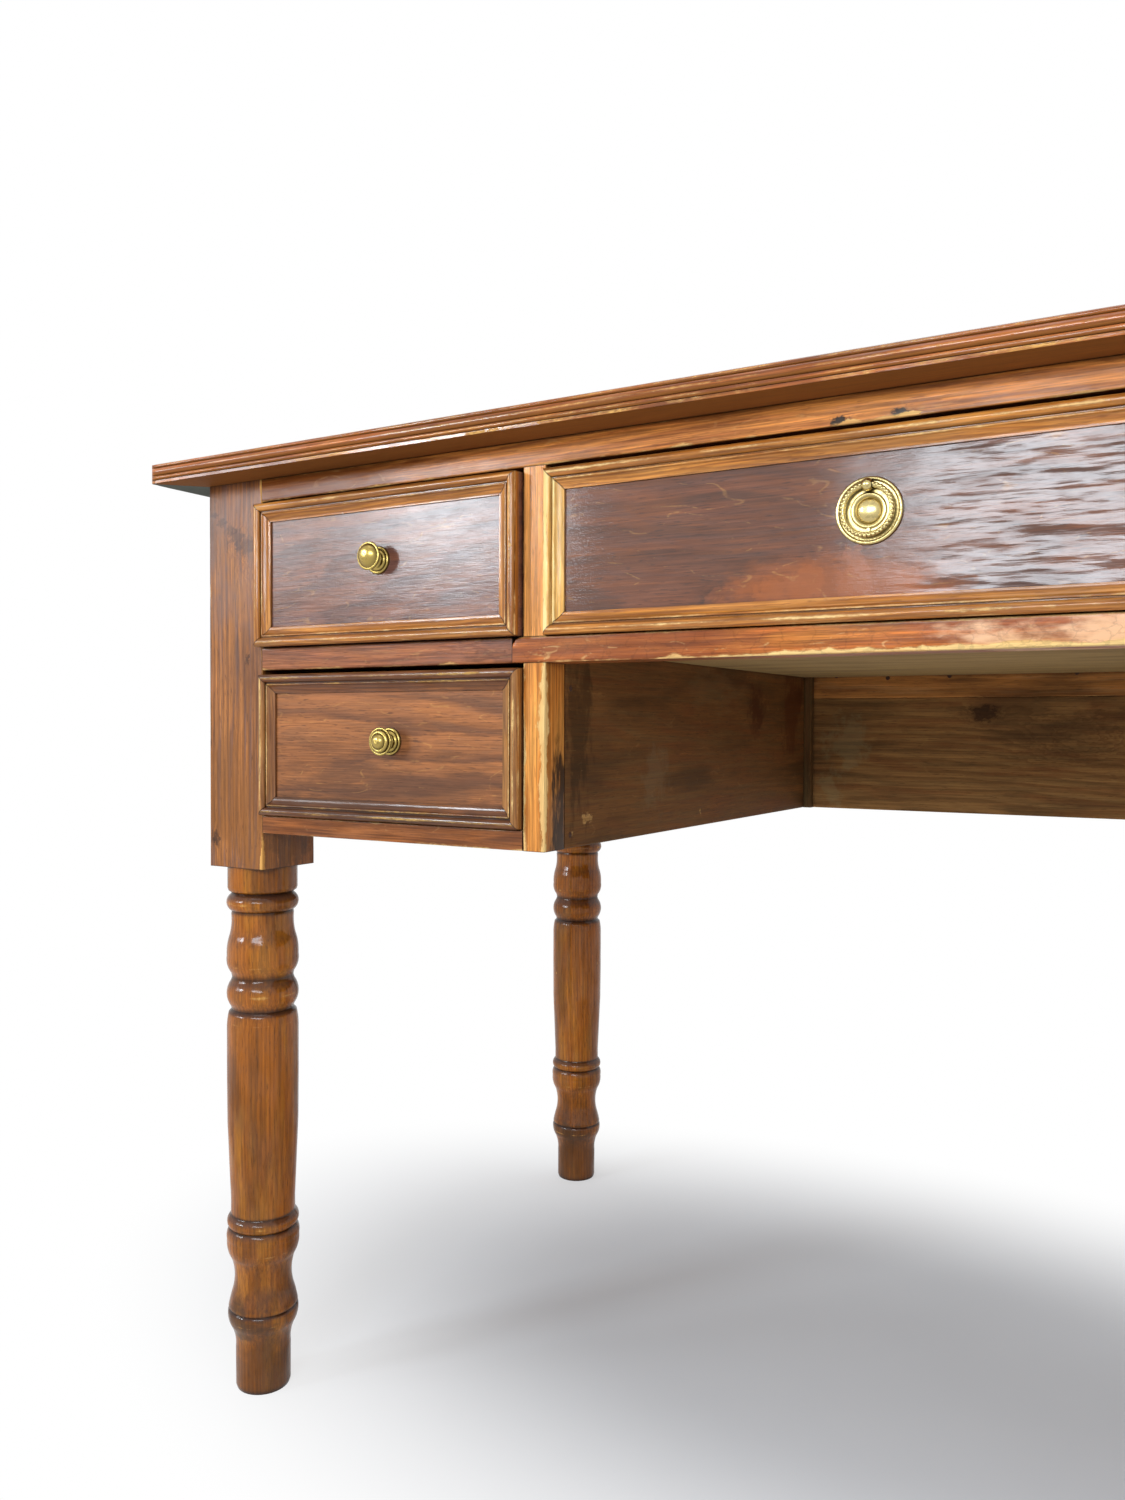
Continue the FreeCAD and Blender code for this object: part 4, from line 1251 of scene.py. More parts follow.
class Repeated(Tree):
    """A Geometry Nodes tree whose sizes are named inputs, and the plain mesh that it makes."""

    def __init__(self, name: str, **sizes: float | int) -> None:
        """Starts the tree.

        Args:
            name: name of the tree and of its piece.
            **sizes: the tree's inputs, whole numbers for counts.
        """
        self.name = name
        self.sizes = sizes
        tree = bpy.data.node_groups.new(name, "GeometryNodeTree")
        tree.interface.new_socket("Shape", in_out="INPUT", socket_type="NodeSocketGeometry")
        for key, value in sizes.items():
            kind = "NodeSocketInt" if isinstance(value, int) else "NodeSocketFloat"
            tree.interface.new_socket(key, in_out="INPUT", socket_type=kind)
        tree.interface.new_socket("Shape", in_out="OUTPUT", socket_type="NodeSocketGeometry")
        super().__init__(tree)
        self.given = self.add(Node.INPUT).outputs

    def build(self, shape: object, material: bpy.types.Material,
              points: list[Vector]) -> bpy.types.Object:
        """Ends the tree, runs it and keeps its mesh.

        Args:
            shape: the shape that the tree makes.
            material: its finish.
            points: the points that it starts from, if it needs any.

        Returns:
            A piece with a plain mesh.
        """
        plain = self.add(Node.REALIZE, shape)
        self.add(Node.RESULT, self.add(Node.FINISH, plain, None, material))
        mesh = bpy.data.meshes.new(self.name)
        mesh.from_pydata(points, [], [])
        piece = show(self.name, mesh)
        modifier = piece.modifiers.new(self.name, "NODES")
        modifier.node_group = self.tree
        for item in self.tree.interface.items_tree:
            if item.in_out == "INPUT" and item.name in self.sizes:
                modifier[item.identifier] = self.sizes[item.name]
        graph = bpy.context.evaluated_depsgraph_get()
        piece.data = bpy.data.meshes.new_from_object(piece.evaluated_get(graph))
        piece.modifiers.clear()
        return piece


# The top: planed pine under many coats of shellac. Its bold rings show through a smooth gloss,
# with fine scratches.
TOP_PINE = Pine("shellacked_top_pine", early="#9c5a2c", late="#6d3519", ring_mm=7.0, coat=0.6,
                coat_roughness=0.12, ring_depth=0.8, warp_mm=9.0, stained=0.22, glowing=0.25,
                greyed=0.25, scratches=0.3)
# The top's reeded edge: worked with a scratch stock and thickly shellacked, so it has the
# sharpest gloss, deep orange crests and black reeds, black with grime and painted shade.
EDGE_PINE = Pine("shellacked_edge_pine", early="#a75a20", late="#6c3212", grey="#7a452a",
                 stain="#43200c", glow="#c67c34", coat=0.95, coat_roughness=0.08, crevice_grime_and_shade=0.95,
                 crevice_mm=4.0, bare="#e2ad62", ring_mm=3.5, streaks=0.28, specular=0.06)
# The rails: planed pine whose shellac arms and cloths have rubbed thin. They look warm and half
# dull, and pale where an edge is bare.
RAIL_PINE = Pine("rubbed_rail_pine", early="#b36a2f", late="#83451f", grey="#8c5836",
                 stain="#5f3018", glow="#c9843a", bare="#ecbd78", coat_roughness=0.2,
                 scratches=0.3, fibre=0.36, streaks=0.28, specular=0.06)
# The rail under the top is the most yellow of them, with two old chips. The dark at its left end
# is painted shade, and so are the two dark notches beside the chips.
UPPER_RAIL_PINE = replace(RAIL_PINE, name="rubbed_upper_rail_pine", early="#c47a38",
                          late="#965326", knots=(
                              # The first two spots are painted shade in two notches, the third painted
                              # shade at the left end
                              Spot((-18.0, RAIL_FACE, 738.5), 4.6, 6.0, 0.0, 1.0, "#2c1c0b"),
                              Spot((17.3, RAIL_FACE, 738.5), 4.2, 5.6, 0.0, 1.0, "#2c1c0b"),
                              Spot((-500.0, RAIL_FACE, 745.0), 30.0, 190.0, 0.0, 0.75, "#602a06")),
                          knocks=(Spot((-12.0, RAIL_FACE, 737.5), 1.6, 4.0, 6.0),
                                  Spot((23.0, RAIL_FACE, 737.5), 1.4, 5.0, 6.0)))
# The rails between the drawers are redder and darker, and those under them are browner.
MID_RAIL_PINE = replace(RAIL_PINE, name="rubbed_mid_rail_pine", early="#9a5c3a", late="#6c3a24",
                        grey="#7e5040", stain="#522b1a", glow="#a8683c", knots=(
                            Spot((-262.0, RAIL_FACE, 612.0), 16.0, 30.0, 1.6, 0.25),))
LOWER_RAIL_PINE = replace(MID_RAIL_PINE, name="rubbed_lower_rail_pine", early="#935529",
                          late="#623416", grey="#764a2e", knots=())
# The rail over the kneehole: its shellac has crackled, and knees have rubbed one stretch pale.
# It is darker at its left end, and its pale stretch also holds a painted highlight of the window.
CENTRE_RAIL_PINE = replace(RAIL_PINE, name="crackled_rail_pine", early="#b8652a", late="#8a441c",
                           grey="#9a5a34", stain="#743818", bare="#f2ca85", crackle=0.18,
                           scratches=0.8, offset_mm=(140.0, 30.0, 9.0), knots=(
                               Spot((-180.0, RAIL_FACE, 610.0), 40.0, 120.0, 0.0, 0.5, "#743a20"),
                               Spot((165.0, RAIL_FACE, 612.0), 34.0, 95.0, 0.0, 0.8, "#f0bd90")))
# The posts and sides: sawn and planed pine, oiled rather than polished. They look brown, streaked
# with grey, and have little gloss.
POST_PINE = Pine("oiled_post_pine", grain=Axis.Z, early="#a2642f", late="#65391d",
                 grey="#6a4c42", stain="#4a2a1c", glow="#a86c34", ring_mm=4.5, lean=0.01,
                 warp_mm=12.0, ring_depth=0.45, greyed=0.65, stained=0.6, fibre=0.34,
                 streaks=0.26, pores=0.65, coat=0.35, coat_roughness=0.25)
# The stiles beside the kneehole: planed pine that is scuffed back to golden wood.
STILE_PINE = Pine("worn_stile_pine", grain=Axis.Z, early="#ea9d52", late="#b06b34",
                  grey="#a0683e", stain="#764220", glow="#e6a04f", bare="#f4c678", ring_mm=4.0,
                  warp_mm=8.0, lean=0.01, coat=0.25, fibre=0.34, streaks=0.28)
# The legs: pine turned on a lathe and shellacked. Their crests are amber and glossy, with tight
# mirrored streaks, and their grooves are black with old wax, grime and painted shade. Faces that
# look up are tinted, partly by what has gathered there and partly as a painted reflection.
LEG_PINE = Pine("turned_leg_pine", grain=Axis.Z, early="#a65e18", late="#70390c", grey="#684119",
                stain="#42240a", glow="#bb7a24", ring_mm=3.2, ring_depth=0.35, coat=0.65,
                coat_roughness=0.1, specular=0.02, crevice_grime_and_shade=0.95, crevice_mm=9.0, open_air=0.93,
                dust_and_reflection=0.75, warp_mm=7.0, lean=0.01, nick_share=0.35, sag_mm=0.3, streaks=0.15,
                fibre=0.2, stained=0.6, glowing=0.5)
# Inside the kneehole: planed pine, stained but never polished. It is matt olive brown. The back
# shows its rings, and the soffit is the palest of it. All these colours, the soffit's most, are
# painted much lighter than the wood, as painted light standing in for the light reaching into the
# kneehole.
KNEEHOLE_PINE = Pine("unpolished_kneehole_pine", grain=Axis.Y, early="#7b512a", late="#633f1f",
                     grey="#6f5835", stain="#44301b", glow="#784423", bare="#c99a5e",
                     ring_depth=0.2, streaks=0.1, fibre=0.2, greyed=0.3, stained=0.6, coat=0.0,
                     roughness=0.62, nick_share=0.25, scratches=0.25)
BACK_PINE = replace(KNEEHOLE_PINE, name="unpolished_back_pine", grain=Axis.X, early="#9b7040",
                    late="#6a4523", ring_mm=9.0, ring_depth=0.5, streaks=0.14)
SOFFIT_PINE = replace(KNEEHOLE_PINE, name="unpolished_soffit_pine", grain=Axis.X,
                      early="#ad8c59", late="#977545", grey="#9c875c", stain="#806543",
                      glow="#b39262", roughness=0.8, crevice_grime_and_shade=0.4)
# Inside the carcass and the drawers: sawn pine with no finish, pale and quite dull.
RAW_PINE = Pine("sawn_raw_pine", grain=Axis.Y, early="#c2925a", late="#9f6c39", grey="#9b7c58",
                stain="#866041", glow="#cf9f60", coat=0.0, roughness=0.72, stained=0.3,
                specular=0.15, crevice_grime_and_shade=0.5)
# The drawer fronts: knife-cut veneer, french polished. It is dark red brown, and its soft gloss
# is uneven where the glue below has sunk. The back of the front is raw pine.
VENEER = Pine("french_polished_veneer", early="#774b3a", late="#442a23", grey="#574346",
              stain="#36231f", glow="#8c583c", ring_mm=15.0, pith_mm=(-330.0, 640.0), lean=0.16,
              warp_mm=26.0, fibre=0.24, streaks=0.15, pores=0.65, stained=0.3, roughness=0.38,
              coat=0.7, coat_roughness=0.17, coat_low_share=0.75, nick_share=0.15, sag_mm=0.13,
              raw_side=(0.0, 1.0, 0.0), scratches=0.5, peel_mm=0.07)
# The drawers' frames: moulded pine under thick shellac. Thin bright lines run along their
# crests, the hollows are black with grime and painted shade, and the lower drawers' frames are stained
# darker.
GOLDEN = Pine("golden_moulding_pine", early="#b4712c", late="#804417", grey="#8f5c32",
              stain="#603310", glow="#d4944a", bare="#f4cc8a", coat=0.65, coat_roughness=0.1,
              crevice_grime_and_shade=0.95, crevice_mm=3.5, ring_mm=3.0, streaks=0.25)
DARK = replace(GOLDEN, name="dark_moulding_pine", early="#6c3c1a", late="#46240f",
               grey="#56341f", stain="#301809", glow="#845022", bare="#c69a56")


@dataclass
class Tabletop:
    """The top: three boards with reeded strips mitred round them.

    Args:
        boards: how many boards lie side by side.
        joint: rounding of the boards' edges where they meet.
        mitre: half the gap between two strips.
        corner: radius of the top's corners, seen from above.
        seen_raw: colour of the left strip's underside, greyer than the others'.
        raw: colour of the others' undersides.
    """

    boards: int = 3
    joint: float = 0.4 * MM
    mitre: float = 0.12 * MM
    corner: float = 8.0 * MM
    seen_raw: str = "#62655b"
    raw: str = "#8c5628"

    def build(self) -> None:
        """Makes the boards and strips."""
        low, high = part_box("top_boards")
        width = (high.y - low.y) / self.boards
        for i in range(self.boards):
            a = Vector((low.x, low.y + width * i, low.z))
            b = Vector((high.x, low.y + width * (i + 1), high.z))
            finish = replace(TOP_PINE, name=f"{TOP_PINE.name}_{i}",
                             offset_mm=(310.0 * i, 57.0 * i, 23.0))
            piece = Board(f"top_board_{i + 1}", a, b, Axis.X, (0, 0, 0.5, 0.5),
                          Wear(f"top board {i}"), self.joint, 12 * MM).build()
            dress(piece, finish.build(), CARCASS, "stained_pine", "top_boards")
        self.strips()

    def strips(self) -> None:
        """Makes the four reeded strips, each from its outer edge inwards."""
        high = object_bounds()[1]
        outline = REEDED_EDGE.outline()
        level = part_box("top_edge_front")[0].z
        sides = (("front", high.x, 0, -high.y, 0, Axis.X), ("right", high.y, high.x, 0, 90, Axis.Y),
                 ("back", high.x, 0, high.y, 180, Axis.X), ("left", high.y, -high.x, 0, 270, Axis.Y))
        for side, half, x, y, angle, grain in sides:
            reach = half - self.mitre
            turned = Matrix.Translation((x, y, level)) @ Matrix.Rotation(math.radians(angle), 4, "Z")
            wear = Wear(f"edge {side}", band=-0.35, chips=3.0, chip=1.6)
            piece = sweep(f"edge_strip_{side}", outline, lambda p, h=reach: p.across - h,
                          lambda p, h=reach: h - p.across, turned, wear)
            self.knock_round(piece, high)
            finish = replace(EDGE_PINE, name=f"{EDGE_PINE.name}_{side}", grain=grain,
                             raw_side=(0.0, 0.0, -1.0),
                             raw=self.seen_raw if side == "left" else self.raw)
            dress(piece, finish.build(), CARCASS, "stained_pine", f"top_edge_{side}")

    def knock_round(self, strip: bpy.types.Object, high: Vector) -> None:
        """Rounds the corners of the top, seen from above, as years of knocks have.

        Args:
            strip: a strip of the edge.
            high: the desk's high corner.
        """
        for vertex in strip.data.vertices:
            past = [abs(vertex.co[i]) - high[i] + self.corner for i in (0, 1)]
            far = math.hypot(*past)
            if min(past) > 0 and far > self.corner:
                for i in (0, 1):
                    kept = high[i] - self.corner + past[i] * self.corner / far
                    vertex.co[i] = math.copysign(kept, vertex.co[i])


@dataclass
class FrontFrame:
    """Rails and stiles that frame the drawers.

    Args:
        rounding: radius of their worn edges.
        lap_radius: radius of the ends of the rail that laps the stiles.
    """

    rounding: float = 0.9 * MM
    lap_radius: float = 8.0 * MM

    def build(self) -> None:
        """Makes the rails and stiles."""
        for node, pine, exposure, band, chips in (
            ("upper_front_rail", UPPER_RAIL_PINE, (1.0, 0, 0, 0.2), 0.1, 16.0),
            ("left_mid_rail", MID_RAIL_PINE, (0.9, 0, 0, 0.4), -0.1, 18.0),
            ("right_mid_rail", MID_RAIL_PINE, (0.9, 0, 0, 0.4), -0.1, 18.0),
            ("left_lower_rail", LOWER_RAIL_PINE, (0.7, 0.2, 0, 0.5), -0.3, 12.0),
            ("right_lower_rail", LOWER_RAIL_PINE, (0.7, 0.2, 0, 0.5), -0.3, 12.0),
        ):
            low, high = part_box(node)
            wear = Wear(node, band, swing=1.5, chips=chips, chip=2.4)
            piece = Board(f"worn_{node}", low, high, Axis.X, exposure, wear, self.rounding).build()
            dress(piece, replace(pine, name=f"{node}_{pine.name}").build(), CARCASS,
                  "stained_pine", node)
        self.lapped_rail()
        for side, outer in (("left", 0), ("right", 1)):
            self.stiles(side, outer)

    def lapped_rail(self) -> None:
        """The rail over the kneehole, with its upper ends rounded where they lap the stiles."""
        low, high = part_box("centre_rail")
        swell_shares = ((0.0, 0.0), (0.12, 0.1), (0.3, 0.55), (0.75, 1.4), (1.0, 0.8))
        wear = Wear("centre rail", 2.2, 2.0, 16.0, 4.0, swell_shares)
        piece = Board("worn_centre_rail", low, high, Axis.X, (1.0, 0.3, 0, 0.25), wear,
                      self.rounding, 2.5 * MM).build()
        for vertex in piece.data.vertices:
            past = max(0.0, abs(vertex.co.x) - (high.x - self.lap_radius))
            past = min(past, self.lap_radius)
            ceiling = high.z - self.lap_radius + math.sqrt(self.lap_radius**2 - past**2)
            vertex.co.z = min(vertex.co.z, ceiling)
        dress(piece, CENTRE_RAIL_PINE.build(), CARCASS, "stained_pine", "centre_rail")

    def stiles(self, side: str, outer: int) -> None:
        """The uprights beside the kneehole, worn where knees and chairs knock them.

        Args:
            side: "left" or "right".
            outer: 0 where the kneehole is on the stile's +X side, 1 where it is on its -X side.
        """
        rail_low, rail_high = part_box("centre_rail")
        node = f"{side}_stiles"
        low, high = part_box(node)
        exposure = (1.0, 0.4, 0, 0) if outer else (0.4, 1.0, 0, 0)
        wear = Wear(f"{side} upper stile", band=0.0, swing=1.4, chips=9.0, chip=2.0)
        upper = Board(f"{side}_upper_stile", Vector((low.x, low.y, rail_high.z)), high, Axis.Z,
                      exposure, wear, self.rounding)
        dress(upper.build(), replace(STILE_PINE, name=f"{side}_{STILE_PINE.name}").build(),
              CARCASS, "stained_pine", node)
        knee_x = (low.x if outer else high.x) / MM
        # A near-black patch low on the stile's side that faces the kneehole
        stain = Spot((knee_x, low.y / MM + 21.0, 480.0), 14.0, 64.0, 0.0, 0.96, "#33200f")
        bright = replace(STILE_PINE, name=f"{side}_lower_{STILE_PINE.name}", early="#d0853a",
                         late="#a05c20", grey="#b3743c", stain="#8a4f20", glow="#e0a050",
                         bare="#f6d08a", knots=(stain,), offset_mm=(60.0, 0.0, 20.0), coat=0.2,
                         ragged_mm=3.2, streaks=0.34, ring_depth=0.8)
        swell_shares = ((0.0, 1.7), (0.35, 1.5), (0.75, 0.8), (1.0, 0.4))
        wear = Wear(f"{side} lower stile", 3.4, 3.0, 40.0, 6.0, swell_shares)
        lower = Board(f"{side}_lower_stile", low, Vector((high.x, high.y, rail_low.z)), Axis.Z,
                      exposure, wear, self.rounding, 1.5 * MM)
        dress(lower.build(), bright.build(), CARCASS, "stained_pine", node)


@dataclass
class Carcass:
    """Side panels, partitions, back, soffit and the legs.

    Args:
        back_joint: from the lower edge of the back to the joint between its boards.
        square_drop: how far the posts stay square below the pedestals.
        leg_sides: how many points go round a leg.
    """

    back_joint: float = 118.0 * MM
    square_drop: float = 30.0 * MM
    leg_sides: int = 64

    def build(self) -> None:
        """Makes the panels and refinishes the pieces whose shape is kept."""
        panel = replace(POST_PINE, name="oiled_panel_pine", grain=Axis.Y, ring_mm=9.0,
                        pith_mm=(620.0, -700.0), warp_mm=14.0, greyed=0.4)
        for side, sign in (("left", -1), ("right", 1)):
            low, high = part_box(f"{side}_side_panel")
            piece = Board(f"worn_{side}_side_panel", low, high, Axis.Y, (0.5, 0.5, 0, 0),
                          Wear(f"{side} side panel"), 1.0 * MM, 8 * MM).build()
            finish = replace(panel, name=f"{side}_{panel.name}", offset_mm=(70.0 * sign, 40.0, 0.0))
            dress(piece, finish.build(), CARCASS, "stained_pine", f"{side}_side_panel")
            self.partition(side, sign)
            for row in ("front", "rear"):
                self.leg(f"{row}_{side}_leg", sign)
        self.back()
        repaint("kneehole_soffit", SOFFIT_PINE.build())
        batten = replace(KNEEHOLE_PINE, name="batten_pine", grain=Axis.Z, early="#66502f",
                         late="#4c3a20")
        repaint("kneehole_corner_battens", batten.build())
        raw = RAW_PINE.build()
        for node in ("left_pedestal_floor", "right_pedestal_floor", "left_runners",
                     "right_runners", "drawer_guides", "kickers", "drawer_stops", "glue_blocks"):
            repaint(node, raw)

    def leg(self, node: str, sign: int) -> None:
        """A square post, and the leg turned below it.

        Args:
            node: the CAD node that they stand for.
            sign: -1 on the desk's left, 1 on its right.
        """
        low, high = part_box(node)
        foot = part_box("left_lower_rail")[0].z - self.square_drop
        middle = (low + high) / 2
        x, y = middle.x / MM, middle.y / MM
        half = round((high.x - low.x) / 2 / MM, 3)
        face, inner = low.y / MM, x - half * sign
        near, far = (0.5, 0.8) if sign < 0 else (0.8, 0.5)
        post = Board(f"{node}_post", Vector((low.x, low.y, foot)), high, Axis.Z,
                     (near, far, far * 0.5, near * 0.5), Wear(f"{node} post", -0.2, 1.5, 12.0, 2.6),
                     1.2 * MM)
        knots = (Spot((x - 23.0, face, 463.0), 5.0, 8.0, 1.6, 0.9),
                 Spot((x + 14.0, face, 610.0), 3.0, 5.0, 1.2, 0.7),
                 Spot((inner, face, 700.0), 24.0, 16.0, 4.0, 0.25, "#4a2c20"),
                 Spot((x, y, 735.0), 60.0, 95.0, 0.0, 0.45, "#70524a"),
                 Spot((inner, y, 455.0), 26.0, 26.0, 0.0, 0.6, "#4a2c12"),
                 Spot((x, face, 490.0), 40.0, 75.0, 0.0, 0.5, "#7e4c1e"),
                 Spot((x + 31.0 * sign, face, 600.0), 2.2, 300.0, 0.0, 0.6, "#453229"))
        feather = tuple(Spot((x + (9.0 * i - 24.0) * -sign, face, 730.0 - 7.0 * i), 5.0 + 1.5 * i,
                             2.5 + 1.5 * i, 0.0, 0.55, "#3f2820") for i in range(5))
        bared = (Spot((inner, face, 447.0), 3.0, 13.0, 6.0), Spot((inner, face, 750.0), 2.0, 18.0, 6.5))
        wood = replace(POST_PINE, name=f"{node}_{POST_PINE.name}", knots=knots + feather, knocks=bared,
                       pith_mm=(x - 150.0, y - 110.0), offset_mm=(0.0, 0.0, 170.0 * sign + y))
        dress(post.build(), wood.build(), CARCASS, "stained_pine", node)
        outline = walk(LEG_STEP_SHARES, (high.x - low.x) / 2, foot)
        place = Matrix.Translation((middle.x, middle.y, 0.0))
        turned = lathe(f"{node}_turning", outline, place, self.leg_sides, 2.0 * MM)
        worn = (Spot((x - 12.0, y - 24.0, 12.0), 4.0, 6.0, 4.4),
                Spot((x - 14.0, y - 24.0, 371.0), 2.2, 6.0, 5.0),
                Spot((x - 20.0, y - 20.0, 322.0), 5.0, 2.5, 4.6))
        stains = (Spot((x, y - 30.0, 60.0), 34.0, 16.0, 0.0, 0.6, "#42301d"),
                  Spot((x - 20.0, y - 20.0, 428.0), 9.0, 9.0, 0.0, 0.75),
                  Spot((x, y, 10.0), 60.0, 80.0, 0.0, 0.6, "#4a2e17"))
        wood = replace(LEG_PINE, name=f"{node}_{LEG_PINE.name}", knots=stains, knocks=worn,
                       pith_mm=(x + 150.0, y + 40.0), offset_mm=(0.0, 0.0, 90.0 * sign + y))
        dress(turned, wood.build(), CARCASS, "stained_pine", node)

    def partition(self, side: str, sign: int) -> None:
        """The board between a pedestal and the kneehole, scuffed by knees.

        Args:
            side: "left" or "right".
            sign: -1 on the desk's left, 1 on its right.
        """
        low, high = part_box(f"{side}_partition")
        knee_x = round((low.x if sign > 0 else high.x) / MM, 3)
        wear = Wear(f"{side} partition", band=-0.3, swing=1.6, chips=9.0, chip=3.0)
        piece = Board(f"worn_{side}_partition", low, high, Axis.Y, (0.8, 0.8, 0, 0), wear,
                      1.0 * MM, 4 * MM).build()
        scuffs = (Spot((knee_x, -236.0, 491.0), 7.0, 12.0, 5.4),
                  Spot((knee_x, -33.0, 483.0), 4.0, 3.0, 5.0),
                  Spot((knee_x, -258.0, 480.0), 4.0, 4.0, 4.4))
        patches = (Spot((knee_x, -123.0, 518.0), 32.0, 26.0, 0.0, 0.2, "#8a7a5c"),
                   Spot((knee_x, 0.0, 590.0), 20.0, 60.0, 0.0, 0.2, "#86704a"),
                   Spot((knee_x, 104.0, 575.0), 26.0, 22.0, 0.0, 0.7, "#4f2410"),
                   Spot((knee_x, 205.0, 575.0), 50.0, 26.0, 0.0, 0.65, "#5a2b13"),
                   Spot((knee_x, -250.0, 545.0), 60.0, 22.0, 0.0, 0.6, "#33220f"))
        wood = replace(KNEEHOLE_PINE, name=f"{side}_{KNEEHOLE_PINE.name}", knocks=scuffs,
                       knots=patches, pith_mm=(560.0, -200.0), offset_mm=(0.0, 55.0 * sign, 0.0))
        dress(piece, wood.build(), CARCASS, "carcass_pine", f"{side}_partition")

    def back(self) -> None:
        """The two back boards, each with its own figure."""
        low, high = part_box("back_boards")
        joint = low.z + self.back_joint
        face = low.y / MM
        knot = Spot((-37.0, face, 572.0), 9.0, 16.0, 3.0, 0.7)
        arcs = Spot((50.0, face, 549.0), 22.0, 44.0, 3.5)
        haze = Spot((-180.0, face, 540.0), 30.0, 26.0, 0.0, 0.3, "#9a8a62")
        low_haze = Spot((-196.0, face, 489.0), 22.0, 16.0, 0.0, 0.3, "#94835c")
        for name, bottom, top, tones, knots in (
            ("lower", low.z, joint, {}, (knot, arcs, haze, low_haze)),
            ("upper", joint, high.z, {"early": "#c58445", "late": "#96602c", "grey": "#a9845a"}, ()),
        ):
            piece = Board(f"{name}_back_board", Vector((low.x, low.y, bottom)),
                          Vector((high.x, high.y, top)), Axis.X, (0.5, 0.5, 0.3, 0.3),
                          Wear(f"{name} back board"), 0.8 * MM, 6 * MM).build()
            wood = replace(BACK_PINE, name=f"{name}_{BACK_PINE.name}", knots=knots, **tones)
            dress(piece, wood.build(), CARCASS, "carcass_pine", "back_boards")


@dataclass(frozen=True)
class DrawerLook:
    """The finish of one drawer's front and of its four strips.

    Args:
        veneer: finish of the front.
        strips: finish of the strips.
        left_strip: finish of the left strip, if it has its own.
        right_strip: finish of the right strip, if it has its own.
        band: width of the strips' wear, as Wear takes it.
        left_band: the same of the left strip.
    """

    veneer: Pine
    strips: Pine
    left_strip: Pine | None = None
    right_strip: Pine | None = None
    band: float = -0.1
    left_band: float = -0.1


class Layout(Enum):
    """The five drawers, by the start of their nodes' names."""

    UPPER_LEFT = "upper_left_drawer"
    LOWER_LEFT = "lower_left_drawer"
    CENTRE = "centre_drawer"
    UPPER_RIGHT = "upper_right_drawer"
    LOWER_RIGHT = "lower_right_drawer"


@dataclass
class Drawer:
    """One drawer: a veneered front in a mitred frame, and its box.

    Args:
        layout: which drawer it is.
        look: its finishes.
        mitre: half the gap between two strips.
    """

    layout: Layout
    look: DrawerLook
    mitre: float = 0.12 * MM

    def build(self) -> None:
        """Makes the frame and refinishes the front, box and bottom."""
        name = self.layout.value
        repaint(f"{name}_front", replace(self.look.veneer, name=f"{name}_veneer").build())
        repaint(f"{name}_box", replace(RAW_PINE, name=f"{name}_box_pine").build())
        bottom = replace(RAW_PINE, name=f"{name}_bottom_pine", grain=Axis.X, early="#b5824e")
        repaint(f"{name}_bottom", bottom.build())
        self.frame()

    def frame(self) -> None:
        """The four strips, each from its outer edge inwards."""
        name = self.layout.value
        low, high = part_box(f"{name}_moulding")
        outline = DRAWER_MOULDING.outline()
        middle = (low + high) / 2
        wide, tall = (high.x - low.x) / 2, (high.z - low.z) / 2
        upright = replace(self.look.strips, grain=Axis.Z)
        for side, half, x, z, along, inwards, wood in (
            ("lower", wide, middle.x, low.z, Axis.X, (0, 0, 1), self.look.strips),
            ("upper", wide, middle.x, high.z, Axis.X, (0, 0, -1), self.look.strips),
            ("left", tall, low.x, middle.z, Axis.Z, (1, 0, 0), self.look.left_strip or upright),
            ("right", tall, high.x, middle.z, Axis.Z, (-1, 0, 0), self.look.right_strip or upright),
        ):
            turned = Matrix.Identity(4)
            turned.col[0] = (along is Axis.X, 0, along is Axis.Z, 0)
            turned.col[1] = (*inwards, 0)
            turned.col[2] = (0, -1, 0, 0)
            turned.col[3] = (x, high.y, z, 1)
            reach = half - self.mitre
            band = self.look.left_band if side == "left" else self.look.band
            wear = Wear(f"{name} {side}", band, swing=1.2, chips=9.0, chip=1.8)
            piece = sweep(f"{name}_{side}_strip", outline, lambda p, h=reach: p.across - h,
                          lambda p, h=reach: h - p.across, turned, wear, 2.5 * MM)
            finish = replace(wood, name=f"{name}_{side}_{wood.name}")
            dress(piece, finish.build(), name, "moulding_pine", f"{name}_moulding")


